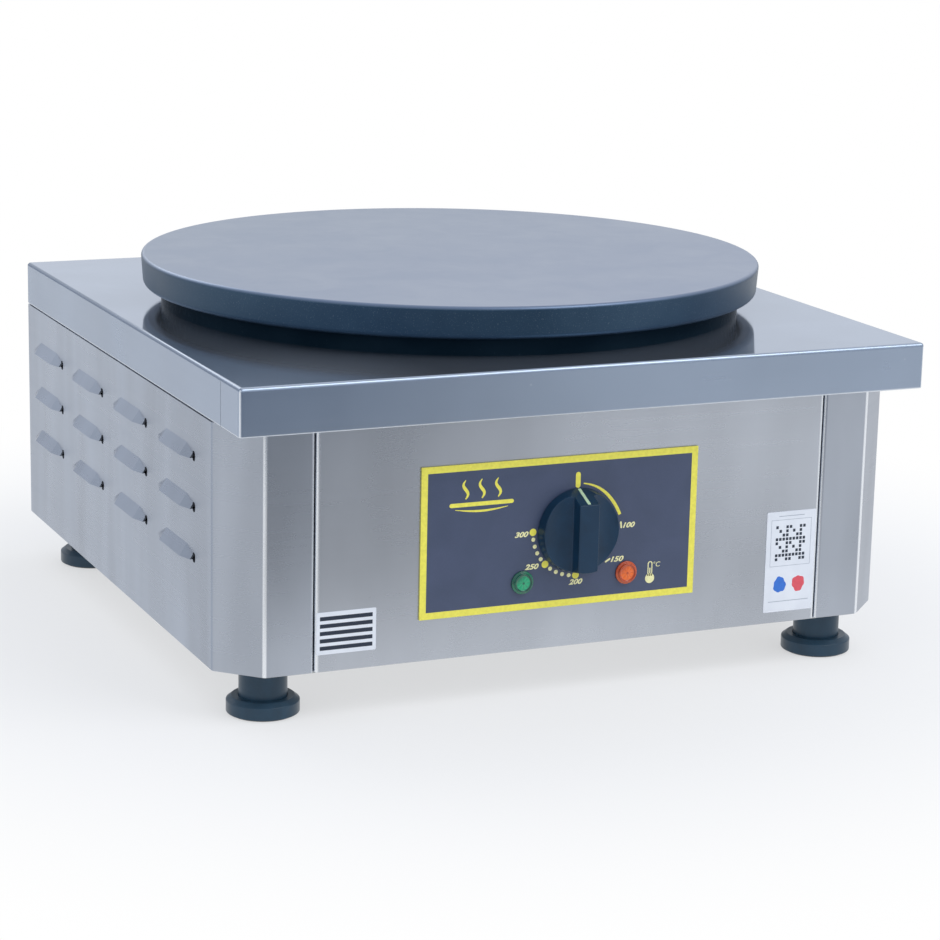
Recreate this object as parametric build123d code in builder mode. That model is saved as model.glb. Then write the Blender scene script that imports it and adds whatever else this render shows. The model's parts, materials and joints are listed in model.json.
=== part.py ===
from build123d import *

import os
from math import acos, atan2, cos, radians, sin, sqrt, tan

# Electric crepe maker: a round cast-iron griddle plate on a case of folded stainless sheet.
# Millimetres. X runs from left to right, Y from front to back, Z up. Z = 0 is the worktop, and the
# origin is under the middle of the machine's overall width and depth.

# ------------------------------------------------------------------ driving sizes
# Griddle plate and what carries it
plate_d = 400.0  # cooking face
plate_t = 13.0  # thickness under the cooking face
plate_rim_h = 20.0
plate_rim_wall = 10.0
plate_draft = 1.4  # the rim's foot is drawn in by this much
plate_edge_r = 2.2  # round the cooking face
plate_foot_r = 3.5  # edges of the rim's foot
ring_gap = 1.5  # dish that carries the plate, inside the rim
ring_t = 1.5
insulation_t = 4.0
insulation_gap = 2.5  # insulation inside the dish

# Heating elements
element_d = 8.4
outer_ring_r = 150.0
inner_ring_r = 95.0
outer_leg_x = 9.0
inner_leg_x = 24.0
element_bend_r = 10.0
terminal_run = 5.9  # straight run of the inner element before its ends drop into the case
terminal_drop = 45.0  # how far the element ends reach below the plate's underside
terminal_pin_d = 4.0
terminal_pin_l = 8.0
clamp_t = 3.0
clamp_gap = 1.3  # clamp above the insulation
clamp_arm_w = 20.0
clamp_arm_past = 10.0  # ends of the arms outside the outer element's centre line
clamp_hub_d = 56.0
clamp_screw_d = 6.0
clamp_screw_bite = 8.0
clamp_screw_head_af = 10.0
clamp_screw_head_h = 3.0
stud_circle_r = 60.0
stud_d = 8.0
stud_bite = 9.0
stud_below_nut = 3.0

# Temperature probe
bulb_d = 6.0
bulb_l = 50.0
bulb_lead = 6.35  # end of the bulb, to the right of where its capillary drops
capillary_d = 2.0
capillary_bend_r = 4.0
capillary_gap = 3.8  # beside the end of the inner element
capillary_drop = 56.5  # run to the thermostat, below the tray's top
capillary_side = 13.3  # where it enters the thermostat, from the dial's axis

# Case
tray_w = 444.6
tray_d = 446.0
tray_skirt_h = 28.5
seam_in = 31.8  # seams of the skirt, from the corners: at the front on its sides, at the rear behind
seam_gap = 0.4
sheet_t = 1.2
bend_r = 2.2  # outside radius of the folds
corner_bend_r = 3.4  # the same, at the two folds of a cut corner
edge_r = 0.8  # lower outside edges of the walls and the skirt
case_h = 177.5  # underside of the walls to the top of the tray
front_setback = 23.8  # front panel behind the tray's front edge
corner_cut = 24.0  # 45-degree front corners
joint_in = 54.7  # panel joints, from the sides
joint_gap = 0.6
joint_flange_w = 12.0
skirt_gap = 0.6
wall_flange_w = 15.0
opening_end_gap = 6.0  # ends of the tray's opening, clear of the capillary
tray_opening_d = 26.0
tray_opening_r = 5.0
crossbar_w = 28.0
crossbar_h = 28.0
crossbar_t = 1.5
base_inset = 4.0
vent_l = 60.0
vent_w = 4.0
vent_pitch = 12.0
vent_column_pitch = 90.0
vent_count = 9

# Louvres
louvre_face_l = 39.0
louvre_end_l = 16.0
louvre_h = 7.3
louvre_out = 4.9
louvre_pitch_y = 93.2
louvre_pitch_z = 30.6
louvre_rows = 3
louvre_rear_in = 54.1  # centre of the rearmost column, from the tray's rear edge
louvre_front_gap = 12.0  # plain wall kept between the front column and the cut corner
louvre_drop = 50.4  # top of the upper row, below the tray's top
relief_w = 5.0  # opening at the front end of a louvre
relief_h = 6.0
relief_r = 2.2
relief_in = 3.2  # its middle, inside the louvre's end
relief_up = 1.6  # its middle, above the louvre's lower edge

# Controls, from the middle of the case and below the tray's top
fascia_w = 182.0
fascia_h = 92.6
fascia_t = 1.0
fascia_x = -11.3
fascia_drop = 105.6
dial_x = -0.7
dial_drop = 105.2
shaft_d = 6.0
shaft_flat = 1.0
shaft_hole_d = 12.0
knob_d = 52.0
knob_h = 16.4
knob_taper = 11.0  # degrees
knob_gap = 0.8
knob_bar_w = 13.0
knob_bar_above = 19.1  # where the pointer face meets the front of the bar
knob_bore_depth = 12.0
knob_cavity_d = 44.0
knob_cavity_h = 4.0
knob_hub_d = 13.0
knob_edge_r = 0.6
scoop_r = 25.0
scoop_x = 16.5
scoop_floor = 5.8
thermostat_w = 40.0
thermostat_h = 36.0
thermostat_l = 30.0
thermostat_plate_w = 46.0
thermostat_plate_t = 1.5
thermostat_bore_depth = 14.0
thermostat_screw_x = 14.0
thermostat_screw_d = 4.0
thermostat_screw_head_d = 7.0
thermostat_screw_bite = 6.0
tab_w = 6.3
tab_t = 0.8
tab_l = 8.0
tab_pitch_x = 20.0
tab_pitch_z = 18.0
lamp_mid_x = -1.5  # middle between the lamps
lamp_x = 34.6  # each lamp from that middle
lamp_drop = 134.6
lamp_hole_d = 11.6
lens_flange_d = 14.2
lens_flange_t = 1.4
lens_h = 3.0
lamp_body_d = 13.6
lamp_body_l = 20.0
lamp_tab_pitch = 7.0
lamp_nut_af = 15.0
lamp_nut_t = 3.0
label_in = 19.7  # middle of the labels, from the panel joints
label_t = 0.3
left_label_w = 37.4
left_label_h = 25.6
left_label_drop = 154.0
right_label_w = 34.7
right_label_h = 64.4
right_label_drop = 138.1

# Mains inlet and wiring
gland_in = 92.3  # from the right side
gland_drop = 138.0
gland_thread_d = 20.0
gland_bore_d = 15.0
gland_af = 27.0
gland_collar_t = 5.0
gland_cap_l = 15.0
gland_cap_af = 24.0
gland_cap_hex_l = 8.2
gland_cap_edge_r = 3.7
gland_cap_thread_l = 9.7
gland_thread_l = 9.0
gland_inside_l = 12.0
gland_seal_bore_d = 12.4
gland_seal_l = 9.0
locknut_t = 5.0
block_from_gland = 60.0
block_rear_in = 83.0
block_w = 66.0
block_d = 22.0
block_h = 18.0
block_poles = 5
block_pole_h = 8.1
block_slot_w = 0.8
block_slot_depth = 6.0
block_screw_d = 5.0
block_screw_depth = 4.5
block_screw_h = 2.2
block_screw_slot = 1.1
earth_in = 72.3  # from the right side
earth_stud_d = 6.0
earth_stud_l = 18.0
earth_nut_af = 10.0
earth_nut_t = 5.0
wire_d = 3.0
lamp_wire_d = 2.0
wire_bend_r = 8.0
wire_gap = 0.2
wire_run_h = 36.0  # first layer of wires above the base
wire_layer = 9.0

# Feet
foot_h = 30.5  # case above the worktop
foot_side_in = 34.3
foot_front_in = 31.0  # from the front panel
foot_rear_in = 36.0
foot_collar_d = 29.0
foot_disc_d = 43.8
foot_disc_h = 8.3
foot_disc_top_h = 10.8
foot_disc_top_d = 37.4
foot_socket_depth = 1.8
foot_stud_d = 10.0
foot_stud_seat = 4.0
foot_rim_t = 1.5  # disc's rim round the pad
foot_pad_t = 3.0
foot_pad_proud = 0.8
foot_travel = 12.0
foot_washer_d = 24.0
foot_washer_t = 3.0
foot_nut_af = 17.0
foot_nut_t = 8.0

# Fasteners
rivet_d = 3.2
rivet_head_d = 6.0
rivet_head_t = 1.2
rivet_in = 7.2  # behind the outer face
rivet_margin = 24.0  # first and last rivet, from the ends of the joint
base_screw_in = 11.0  # inside the outer face
base_screw_d = 4.0
base_screw_head_d = 7.0
base_screw_head_t = 1.2
base_screw_l = 8.0
nut_8_af = 13.0
nut_8_t = 6.5
washer_8_d = 17.0
washer_8_t = 1.6

# Clearances
running_gap = 0.05  # round on round, radial
loose_gap = 0.3  # between parts that move past each other
seat_gap = 0.2  # curved part beside the face it lies on
hole_gap = 0.2  # radial, round a screw or stud

# ------------------------------------------------------------------ derived places
half_w = tray_w / 2
z_case = foot_h
z_tray = z_case + case_h
z_skirt = z_tray - tray_skirt_h
z_wall_top = z_skirt - skirt_gap
z_tray_under = z_tray - sheet_t
step = sheet_t + loose_gap  # how far the walls step in behind the skirt

gland_proud = gland_collar_t + gland_cap_l
axis_y = -gland_proud / 2
y_face = axis_y - tray_d / 2 + front_setback
y_rear = axis_y + tray_d / 2
y_fascia = y_face - fascia_t
y_inside = y_face + sheet_t
z_dial = z_tray - dial_drop
z_lamp = z_tray - lamp_drop
x_green = lamp_mid_x - lamp_x
x_orange = lamp_mid_x + lamp_x
z_gland = z_tray - gland_drop
x_joint = half_w - joint_in

z_ring_floor = z_tray + ring_t
z_insulation_top = z_ring_floor + insulation_t
z_clamp = z_insulation_top + clamp_gap
z_clamp_top = z_clamp + clamp_t
z_element = z_clamp_top + seat_gap + element_d / 2
z_under = z_element + element_d / 2 + seat_gap
z_plate = z_under + plate_t
z_bar = z_tray_under - crossbar_h
bar_l = 2 * (half_w - step - sheet_t)

louvre_y0 = y_rear - louvre_rear_in
louvre_reach = louvre_face_l / 2 + louvre_end_l
louvre_room = louvre_y0 - louvre_reach - louvre_front_gap - (y_face + corner_cut)
louvre_columns = 1 + int(louvre_room // louvre_pitch_y)
z_louvre = z_tray - louvre_drop - louvre_h
foot_x = half_w - foot_side_in
foot_ys = {"front": y_face + foot_front_in, "rear": y_rear - foot_rear_in}
foot_places = {
    f"{end}_{side}": (sign * foot_x, foot_ys[end])
    for end in foot_ys
    for side, sign in (("left", -1), ("right", 1))
}
z_base_under = z_case - sheet_t
z_foot_nut = z_case + foot_washer_t

gland_x = half_w - gland_in
block_x = gland_x - block_from_gland
block_y = tray_d / 2 - block_rear_in
earth_x = half_w - earth_in
earth_y = block_y - block_d / 2 - 2 * wire_bend_r


# ------------------------------------------------------------------ planes, sections and small parts
def level(z, x=0.0, y=0.0):
    """Horizontal plane at height z, placed from the griddle's axis."""
    return Plane(origin=(x, axis_y + y, z))


def frontal(y, x=0.0, z=0.0):
    """Upright plane that faces the cook: its Y is up and its normal points to the front."""
    return Plane(origin=(x, y, z), x_dir=(1, 0, 0), z_dir=(0, -1, 0))


def fold_radii(line, less=0.0):
    """Radius of each fold of a plan line, less the given amount. The folds of a cut corner are wider."""
    slanted = [start[0] != end[0] and start[1] != end[1] for start, end in zip(line, line[1:])]
    return [
        (corner_bend_r if before or after else bend_r) - less
        for before, after in zip(slanted, slanted[1:])
    ]


def folded(outer, inner, inner_is_round, z_low, z_high):
    """Folded sheet between a plan line and the line inside it, from z_low to z_high."""
    with BuildSketch(Plane.XY.offset(z_low)) as section:
        with BuildLine():
            FilletPolyline(*outer, radius=fold_radii(outer))
            if inner_is_round:
                FilletPolyline(*inner, radius=fold_radii(inner, less=sheet_t))
            else:
                Polyline(*inner)
            Line(outer[0], inner[0])
            Line(outer[-1], inner[-1])
        make_face()
    extrude(section.sketch, amount=z_high - z_low)


def side_route(inset):
    """Plan of the left wall, set in by inset: rear flange, rear return, side, cut corner, front flange."""
    bevel = inset * tan(radians(22.5))
    x_flange = -(x_joint + joint_gap / 2 + inset)
    x_side = -(half_w - inset)
    return [
        (x_flange, y_rear - joint_flange_w),
        (x_flange, y_rear - inset),
        (x_side, y_rear - inset),
        (x_side, y_face + corner_cut + bevel),
        (-(half_w - corner_cut - bevel), y_face + inset),
        (x_flange, y_face + inset),
        (x_flange, y_face + joint_flange_w),
    ]


def panel_route(y_outer, inward):
    """Plan of a front or rear panel with its two end flanges, as a function of the inset."""

    def route(inset):
        x_flange = x_joint - joint_gap / 2 - inset
        y_end = y_outer + inward * joint_flange_w
        y_wall = y_outer + inward * inset
        return [(-x_flange, y_end), (-x_flange, y_wall), (x_flange, y_wall), (x_flange, y_end)]

    return route


def wall(route, inset, z_low, z_high):
    """One sheet thickness of folded wall between two heights."""
    folded(route(inset), route(inset + sheet_t), True, z_low, z_high)


def ledge(route, width, z_low):
    """A flat flange, one sheet thick, from the wall's outer line inwards."""
    folded(route(0), route(width)[1:-1], False, z_low, z_low + sheet_t)


def stepped_wall(route):
    """A wall flush with the tray's skirt below it and stepped in behind it, with its lower flange."""
    z_step = z_wall_top - sheet_t
    wall(route, 0, z_case, z_wall_top)
    folded(route(0), route(step + sheet_t), False, z_step, z_wall_top)
    wall(route, step, z_step, z_tray - bend_r)
    ledge(route, wall_flange_w, z_case)


def lower_outer_edges(part, route):
    """The wall's outside edges at its foot."""
    with BuildLine(Plane.XY.offset(z_case)) as outline:
        FilletPolyline(*route(0), radius=fold_radii(route(0)))
    bottom = part.edges().group_by(Axis.Z)[0]
    return bottom.filter_by(lambda edge: outline.line.distance_to(edge @ 0.5) < sheet_t / 10)


def disc(plane, diameter, height, mode=Mode.ADD):
    """A round boss on plane, along its normal."""
    with BuildSketch(plane) as section:
        Circle(diameter / 2)
    extrude(section.sketch, amount=height, mode=mode)


def bore(plane, diameter, depth):
    """A round hole from plane against its normal."""
    disc(plane, diameter, -depth, mode=Mode.SUBTRACT)


def hexagon(plane, across_flats, height):
    """A hexagonal boss on plane, along its normal."""
    with BuildSketch(plane) as section:
        RegularPolygon(across_flats / 2, 6, major_radius=False)
    extrude(section.sketch, amount=height)


os.makedirs("parts", exist_ok=True)

# ------------------------------------------------------------------ griddle plate
upright = Plane(origin=(0, axis_y, 0), x_dir=(1, 0, 0), z_dir=(0, -1, 0))
plate_axis = Axis((0, axis_y, 0), (0, 0, 1))
rim_foot_r = plate_d / 2 - plate_draft
rim_inner_r = rim_foot_r - plate_rim_wall
ring_r = rim_inner_r - ring_gap
between_rings_r = (inner_ring_r + outer_ring_r) / 2
z_rim = z_plate - plate_rim_h
stud_places = PolarLocations(stud_circle_r, 3, start_angle=90)
clamp_screw_places = PolarLocations(between_rings_r, 3, start_angle=90)

with BuildPart() as griddle_plate:
    with BuildSketch(upright) as rim_section:
        with BuildLine():
            Polyline(
                (0, z_plate),
                (plate_d / 2, z_plate),
                (rim_foot_r, z_rim),
                (rim_inner_r, z_rim),
                (rim_inner_r, z_under),
                (0, z_under),
                close=True,
            )
        make_face()
        fillet(rim_section.vertices().group_by(Axis.X)[-1], radius=plate_edge_r)
        fillet(rim_section.vertices().group_by(Axis.Y)[0], radius=plate_foot_r)
    revolve(axis=plate_axis)
    with BuildSketch(level(z_under)):
        with stud_places:
            Circle(stud_d / 2 + running_gap)
    extrude(amount=stud_bite, mode=Mode.SUBTRACT)
    with BuildSketch(level(z_under)):
        with clamp_screw_places:
            Circle(clamp_screw_d / 2 + running_gap)
    extrude(amount=clamp_screw_bite, mode=Mode.SUBTRACT)
griddle_plate.part.label = "griddle_plate"
export_step(griddle_plate.part, "parts/griddle_plate.step")


# ------------------------------------------------------------------ dish and insulation
def ring_reach(centre_r, leg_x):
    """How far in front of the axis an element's ring turns in to an end that lies at leg_x."""
    return sqrt((centre_r - element_bend_r) ** 2 - (leg_x + element_bend_r) ** 2)


terminal_y = element_bend_r + terminal_run - ring_reach(inner_ring_r, inner_leg_x)
capillary_x = inner_leg_x + element_d / 2 + capillary_gap + capillary_d / 2
tray_opening_w = 2 * (capillary_x + capillary_d / 2 + opening_end_gap)


def deck_holes(z, depth, stud_hole_d):
    """The opening for the element ends and the stud holes, through a deck whose top is at z."""
    with BuildSketch(level(z)) as holes:
        with Locations((0, terminal_y)):
            RectangleRounded(tray_opening_w, tray_opening_d, tray_opening_r)
        with stud_places:
            Circle(stud_hole_d / 2)
    extrude(holes.sketch, amount=-depth, mode=Mode.SUBTRACT)


with BuildPart() as support_ring:
    with BuildSketch(upright):
        with BuildLine():
            Polyline(
                (0, z_tray),
                (ring_r, z_tray),
                (ring_r, z_under),
                (ring_r - ring_t, z_under),
                (ring_r - ring_t, z_ring_floor),
                (0, z_ring_floor),
                close=True,
            )
        make_face()
    revolve(axis=plate_axis)
    deck_holes(z_ring_floor, ring_t, stud_d + 2 * hole_gap)
support_ring.part.label = "support_ring"
export_step(support_ring.part, "parts/support_ring.step")

with BuildPart() as insulation_disc:
    disc(level(z_ring_floor), 2 * (ring_r - ring_t - insulation_gap), insulation_t)
    deck_holes(z_insulation_top, insulation_t, stud_d + 2 * hole_gap)
    with BuildSketch(level(z_ring_floor)):
        with clamp_screw_places:
            Circle(clamp_screw_head_af / sqrt(3) + loose_gap)
    extrude(amount=insulation_t, mode=Mode.SUBTRACT)
insulation_disc.part.label = "insulation_disc"
export_step(insulation_disc.part, "parts/insulation_disc.step")


def pan(inset):
    """A shallow block with rounded top edges: the tray's outside, or what is inside it."""
    radius = bend_r - inset
    with BuildPart() as block:
        with BuildSketch(level(z_skirt)):
            RectangleRounded(tray_w - 2 * inset, tray_d - 2 * inset, radius)
        extrude(amount=tray_skirt_h - inset)
        fillet(block.edges().group_by(Axis.Z)[-1], radius=radius)
        if inset == 0:
            fillet(block.edges().group_by(Axis.Z)[0], radius=edge_r)
    return block.part


tray_outside = pan(0)
tray_inside = pan(sheet_t)

with BuildPart() as top_tray:
    add(tray_outside)
    add(tray_inside, mode=Mode.SUBTRACT)
    deck_holes(z_tray, sheet_t, stud_d + 2 * hole_gap)
    with BuildSketch(level(z_skirt)):
        with Locations((-half_w, seam_in - tray_d / 2), (half_w, seam_in - tray_d / 2)):
            Rectangle(4 * sheet_t, seam_gap)
        with Locations((seam_in - half_w, tray_d / 2), (half_w - seam_in, tray_d / 2)):
            Rectangle(seam_gap, 4 * sheet_t)
    extrude(amount=tray_skirt_h - bend_r, mode=Mode.SUBTRACT)
top_tray.part.label = "top_tray"
export_step(top_tray.part, "parts/top_tray.step")


# ------------------------------------------------------------------ heating elements
def element(name, centre_r, leg_x):
    """A tubular element: an almost closed ring whose ends turn in and drop into the case."""
    z_low = z_under - terminal_drop
    reach = ring_reach(centre_r, leg_x)
    scale = centre_r / (centre_r - element_bend_r)
    y_drop = axis_y + terminal_y
    y_turn = axis_y - reach
    on_ring = ((leg_x + element_bend_r) * scale, axis_y - reach * scale, z_element)
    with BuildPart() as rod:
        with BuildLine() as centre_line:
            ends = []
            for side in (-1, 1):
                x = side * leg_x
                Line((x, y_drop, z_low), (x, y_drop, z_element - element_bend_r))
                TangentArc(
                    (x, y_drop, z_element - element_bend_r),
                    (x, y_drop - element_bend_r, z_element),
                    tangent=(0, 0, 1),
                )
                Line((x, y_drop - element_bend_r, z_element), (x, y_turn, z_element))
                ends.append((side * on_ring[0], on_ring[1], on_ring[2]))
                TangentArc((x, y_turn, z_element), ends[-1], tangent=(0, -1, 0))
            ThreePointArc(ends[0], (0, axis_y + centre_r, z_element), ends[1])
        with BuildSketch(Plane(origin=(-leg_x, y_drop, z_low), z_dir=(0, 0, 1))):
            Circle(element_d / 2)
        sweep(path=centre_line.wire())
        with BuildSketch(level(z_low)):
            with Locations((-leg_x, terminal_y), (leg_x, terminal_y)):
                Circle(terminal_pin_d / 2)
        extrude(amount=-terminal_pin_l)
    rod.part.label = name
    export_step(rod.part, f"parts/{name}.step")


element("outer_heating_element", outer_ring_r, outer_leg_x)
element("inner_heating_element", inner_ring_r, inner_leg_x)

with BuildPart() as element_clamp:
    with BuildSketch(level(z_clamp)):
        Circle(clamp_hub_d / 2)
        with PolarLocations(0, 3, start_angle=90):
            Rectangle(outer_ring_r + clamp_arm_past, clamp_arm_w, align=(Align.MIN, Align.CENTER))
        with stud_places:
            Circle(stud_d / 2 + hole_gap, mode=Mode.SUBTRACT)
        with clamp_screw_places:
            Circle(clamp_screw_d / 2 + hole_gap, mode=Mode.SUBTRACT)
    extrude(amount=clamp_t)
element_clamp.part.label = "element_clamp"
export_step(element_clamp.part, "parts/element_clamp.step")

with BuildPart() as clamp_screws:
    with BuildSketch(level(z_clamp)):
        with clamp_screw_places:
            Circle(clamp_screw_d / 2)
    extrude(amount=z_under + clamp_screw_bite - seat_gap - z_clamp)
    with BuildSketch(level(z_clamp)):
        with clamp_screw_places:
            RegularPolygon(clamp_screw_head_af / 2, 6, major_radius=False)
    extrude(amount=-clamp_screw_head_h)
clamp_screws.part.label = "clamp_screws"
export_step(clamp_screws.part, "parts/clamp_screws.step")

with BuildPart() as plate_studs:
    z_stud_low = z_tray_under - crossbar_t - washer_8_t - nut_8_t - stud_below_nut
    with BuildSketch(level(z_stud_low)):
        with stud_places:
            Circle(stud_d / 2)
    extrude(amount=z_under + stud_bite - seat_gap - z_stud_low)
plate_studs.part.label = "plate_studs"
export_step(plate_studs.part, "parts/plate_studs.step")

with BuildPart() as plate_stud_nuts:
    z_washer = z_tray_under - crossbar_t
    with BuildSketch(level(z_washer)):
        with stud_places:
            Circle(washer_8_d / 2)
            Circle(stud_d / 2 + running_gap, mode=Mode.SUBTRACT)
    extrude(amount=-washer_8_t)
    with BuildSketch(level(z_washer - washer_8_t)):
        with stud_places:
            RegularPolygon(nut_8_af / 2, 6, major_radius=False)
            Circle(stud_d / 2 + running_gap, mode=Mode.SUBTRACT)
    extrude(amount=-nut_8_t)
plate_stud_nuts.part.label = "plate_stud_nuts"
export_step(plate_stud_nuts.part, "parts/plate_stud_nuts.step")


def crossbar(y, name):
    """A channel under the tray, from wall to wall, that takes the plate's weight."""
    with BuildPart() as bar:
        with BuildSketch(level(z_bar, y=y)):
            Rectangle(bar_l, crossbar_w)
        extrude(amount=crossbar_h)
        with BuildSketch(level(z_bar, y=y)):
            Rectangle(bar_l - 2 * crossbar_t, crossbar_w - 2 * crossbar_t)
        extrude(amount=crossbar_h - crossbar_t, mode=Mode.SUBTRACT)
        with BuildSketch(level(z_tray_under)):
            with stud_places:
                Circle(stud_d / 2 + hole_gap)
        extrude(amount=-crossbar_t, mode=Mode.SUBTRACT)
    bar.part.label = name
    export_step(bar.part, f"parts/{name}.step")


crossbar(-stud_circle_r * sin(radians(30)), "front_crossbar")
crossbar(stud_circle_r, "rear_crossbar")


# ------------------------------------------------------------------ walls
def louvre(offset):
    """The outside form of one pressed louvre on the left wall, moved inwards by offset."""
    plane = Plane(origin=(-half_w + offset, 0, 0), x_dir=(-1, 0, 0), z_dir=(0, 1, 0))
    half = louvre_face_l / 2
    with BuildPart() as hood:
        with BuildSketch(plane):
            with BuildLine():
                Polyline((0, 0), (louvre_out, 0), (0, louvre_h), close=True)
            make_face()
        extrude(amount=louvre_reach, both=True)
        for side in (-1, 1):
            face_end = Vector(-half_w + offset, side * half, louvre_h)
            corner = Vector(-half_w + offset - louvre_out, side * half, 0)
            wall_end = Vector(-half_w + offset, side * louvre_reach, 0)
            normal = (corner - face_end).cross(wall_end - face_end) * side
            split(bisect_by=Plane(origin=face_end, z_dir=normal), keep=Keep.TOP)
    return hood.part


louvre_outside = louvre(0)
louvre_inside = louvre(sheet_t * sqrt(louvre_out**2 + louvre_h**2) / louvre_h)
louvre_places = [
    (0, louvre_y0 - column * louvre_pitch_y, z_louvre - row * louvre_pitch_z)
    for column in range(louvre_columns)
    for row in range(louvre_rows)
]
relief_y = louvre_reach - relief_in
relief_places = [(y - relief_y, z + relief_up) for _, y, z in louvre_places]
base_screw_ys = (y_face + corner_cut + 2 * wall_flange_w, axis_y, y_rear - 2 * wall_flange_w)
base_screw_x = half_w - base_screw_in
base_screw_places = [(side * base_screw_x, y) for side in (-1, 1) for y in base_screw_ys] + [
    (side * x_joint / 2, y)
    for side in (-1, 1)
    for y in (y_face + base_screw_in, y_rear - base_screw_in)
]
rivet_zs = (z_case + rivet_margin, (z_case + z_wall_top) / 2, z_wall_top - rivet_margin)


def screw_holes(z_top, depth):
    """Holes for the base screws through a sheet whose top is at z_top."""
    with BuildSketch(Plane.XY.offset(z_top)) as holes:
        with Locations(*base_screw_places):
            Circle(base_screw_d / 2 + hole_gap)
    extrude(holes.sketch, amount=-depth, mode=Mode.SUBTRACT)


def joint_holes(y_outer, inward):
    """Rivet holes through both joints of a front or rear face."""
    for side in (-1, 1):
        plane = Plane(
            origin=(side * (x_joint - 2 * joint_gap), 0, 0), x_dir=(0, 1, 0), z_dir=(side, 0, 0)
        )
        with BuildSketch(plane) as holes:
            with Locations(*[(y_outer + inward * rivet_in, side * z) for z in rivet_zs]):
                Circle(rivet_d / 2 + hole_gap)
        extrude(holes.sketch, amount=4 * joint_gap + sheet_t, both=True, mode=Mode.SUBTRACT)


with BuildPart() as left_side_panel:
    stepped_wall(side_route)
    fillet(lower_outer_edges(left_side_panel, side_route), radius=edge_r)
    with Locations(*louvre_places):
        add(louvre_outside)
        add(louvre_inside, mode=Mode.SUBTRACT)
    with BuildSketch(Plane(origin=(-half_w, 0, 0), x_dir=(0, 1, 0), z_dir=(1, 0, 0))):
        with Locations(*relief_places):
            RectangleRounded(relief_w, relief_h, relief_r)
    extrude(amount=louvre_out, both=True, mode=Mode.SUBTRACT)
    screw_holes(z_case + sheet_t, sheet_t)
    joint_holes(y_face, 1)
    joint_holes(y_rear, -1)
left_side_panel.part.label = "left_side_panel"
export_step(left_side_panel.part, "parts/left_side_panel.step")

with BuildPart() as right_side_panel:
    mirror(left_side_panel.part, about=Plane.YZ)
right_side_panel.part.label = "right_side_panel"
export_step(right_side_panel.part, "parts/right_side_panel.step")

front_route = panel_route(y_face, 1)
rear_route = panel_route(y_rear, -1)

with BuildPart() as front_panel:
    wall(front_route, 0, z_case, z_tray_under)
    ledge(front_route, wall_flange_w, z_case)
    ledge(front_route, joint_flange_w, z_tray_under - sheet_t)
    fillet(lower_outer_edges(front_panel, front_route), radius=edge_r)
    bore(frontal(y_face, dial_x, z_dial), shaft_hole_d, 2 * sheet_t)
    for side in (-1, 1):
        bore(frontal(y_face, lamp_mid_x + side * lamp_x, z_lamp), lamp_hole_d, 2 * sheet_t)
        bore(
            frontal(y_face, dial_x + side * thermostat_screw_x, z_dial),
            thermostat_screw_d + 2 * hole_gap,
            2 * sheet_t,
        )
    screw_holes(z_case + sheet_t, sheet_t)
    joint_holes(y_face, 1)
front_panel.part.label = "front_panel"
export_step(front_panel.part, "parts/front_panel.step")

with BuildPart() as rear_panel:
    stepped_wall(rear_route)
    fillet(lower_outer_edges(rear_panel, rear_route), radius=edge_r)
    bore(frontal(y_rear - 2 * sheet_t, gland_x, z_gland), gland_thread_d + 2 * hole_gap, 4 * sheet_t)
    screw_holes(z_case + sheet_t, sheet_t)
    joint_holes(y_rear, -1)
rear_panel.part.label = "rear_panel"
export_step(rear_panel.part, "parts/rear_panel.step")

with BuildPart() as joint_rivets:
    for side in (-1, 1):
        x_inner = x_joint - joint_gap / 2 - sheet_t
        plane = Plane(origin=(side * x_inner, 0, 0), x_dir=(0, 1, 0), z_dir=(side, 0, 0))
        places = [
            (y, side * z)
            for y in (y_face + rivet_in, y_rear - rivet_in)
            for z in rivet_zs
        ]
        with BuildSketch(plane):
            with Locations(*places):
                Circle(rivet_d / 2)
        extrude(amount=2 * sheet_t + joint_gap)
        for start, height in ((0, -rivet_head_t), (2 * sheet_t + joint_gap, rivet_head_t)):
            with BuildSketch(plane.offset(start)):
                with Locations(*places):
                    Circle(rivet_head_d / 2)
            extrude(amount=height)
joint_rivets.part.label = "joint_rivets"
export_step(joint_rivets.part, "parts/joint_rivets.step")

# ------------------------------------------------------------------ base
base_half_w = half_w - base_inset
base_bevel = base_inset * tan(radians(22.5))

with BuildPart() as base_plate:
    with BuildSketch(Plane.XY.offset(z_base_under)):
        with BuildLine():
            Polyline(
                (-base_half_w, y_rear - base_inset),
                (-base_half_w, y_face + corner_cut + base_bevel),
                (-(half_w - corner_cut - base_bevel), y_face + base_inset),
                (half_w - corner_cut - base_bevel, y_face + base_inset),
                (base_half_w, y_face + corner_cut + base_bevel),
                (base_half_w, y_rear - base_inset),
                close=True,
            )
        make_face()
        with Locations((0, axis_y)):
            with GridLocations(vent_column_pitch, vent_pitch, 2, vent_count):
                SlotOverall(vent_l, vent_w, mode=Mode.SUBTRACT)
        with Locations(*foot_places.values()):
            Circle(foot_stud_d / 2 + hole_gap, mode=Mode.SUBTRACT)
        with Locations((earth_x, axis_y + earth_y)):
            Circle(earth_stud_d / 2 + hole_gap, mode=Mode.SUBTRACT)
    extrude(amount=sheet_t)
    screw_holes(z_case, sheet_t)
base_plate.part.label = "base_plate"
export_step(base_plate.part, "parts/base_plate.step")

with BuildPart() as base_screws:
    with BuildSketch(Plane.XY.offset(z_base_under)):
        with Locations(*base_screw_places):
            Circle(base_screw_d / 2)
    extrude(amount=base_screw_l)
    with BuildSketch(Plane.XY.offset(z_base_under)):
        with Locations(*base_screw_places):
            Circle(base_screw_head_d / 2)
    extrude(amount=-base_screw_head_t)
    fillet(base_screws.edges().group_by(Axis.Z)[0], radius=edge_r)
base_screws.part.label = "base_screws"
export_step(base_screws.part, "parts/base_screws.step")

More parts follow.
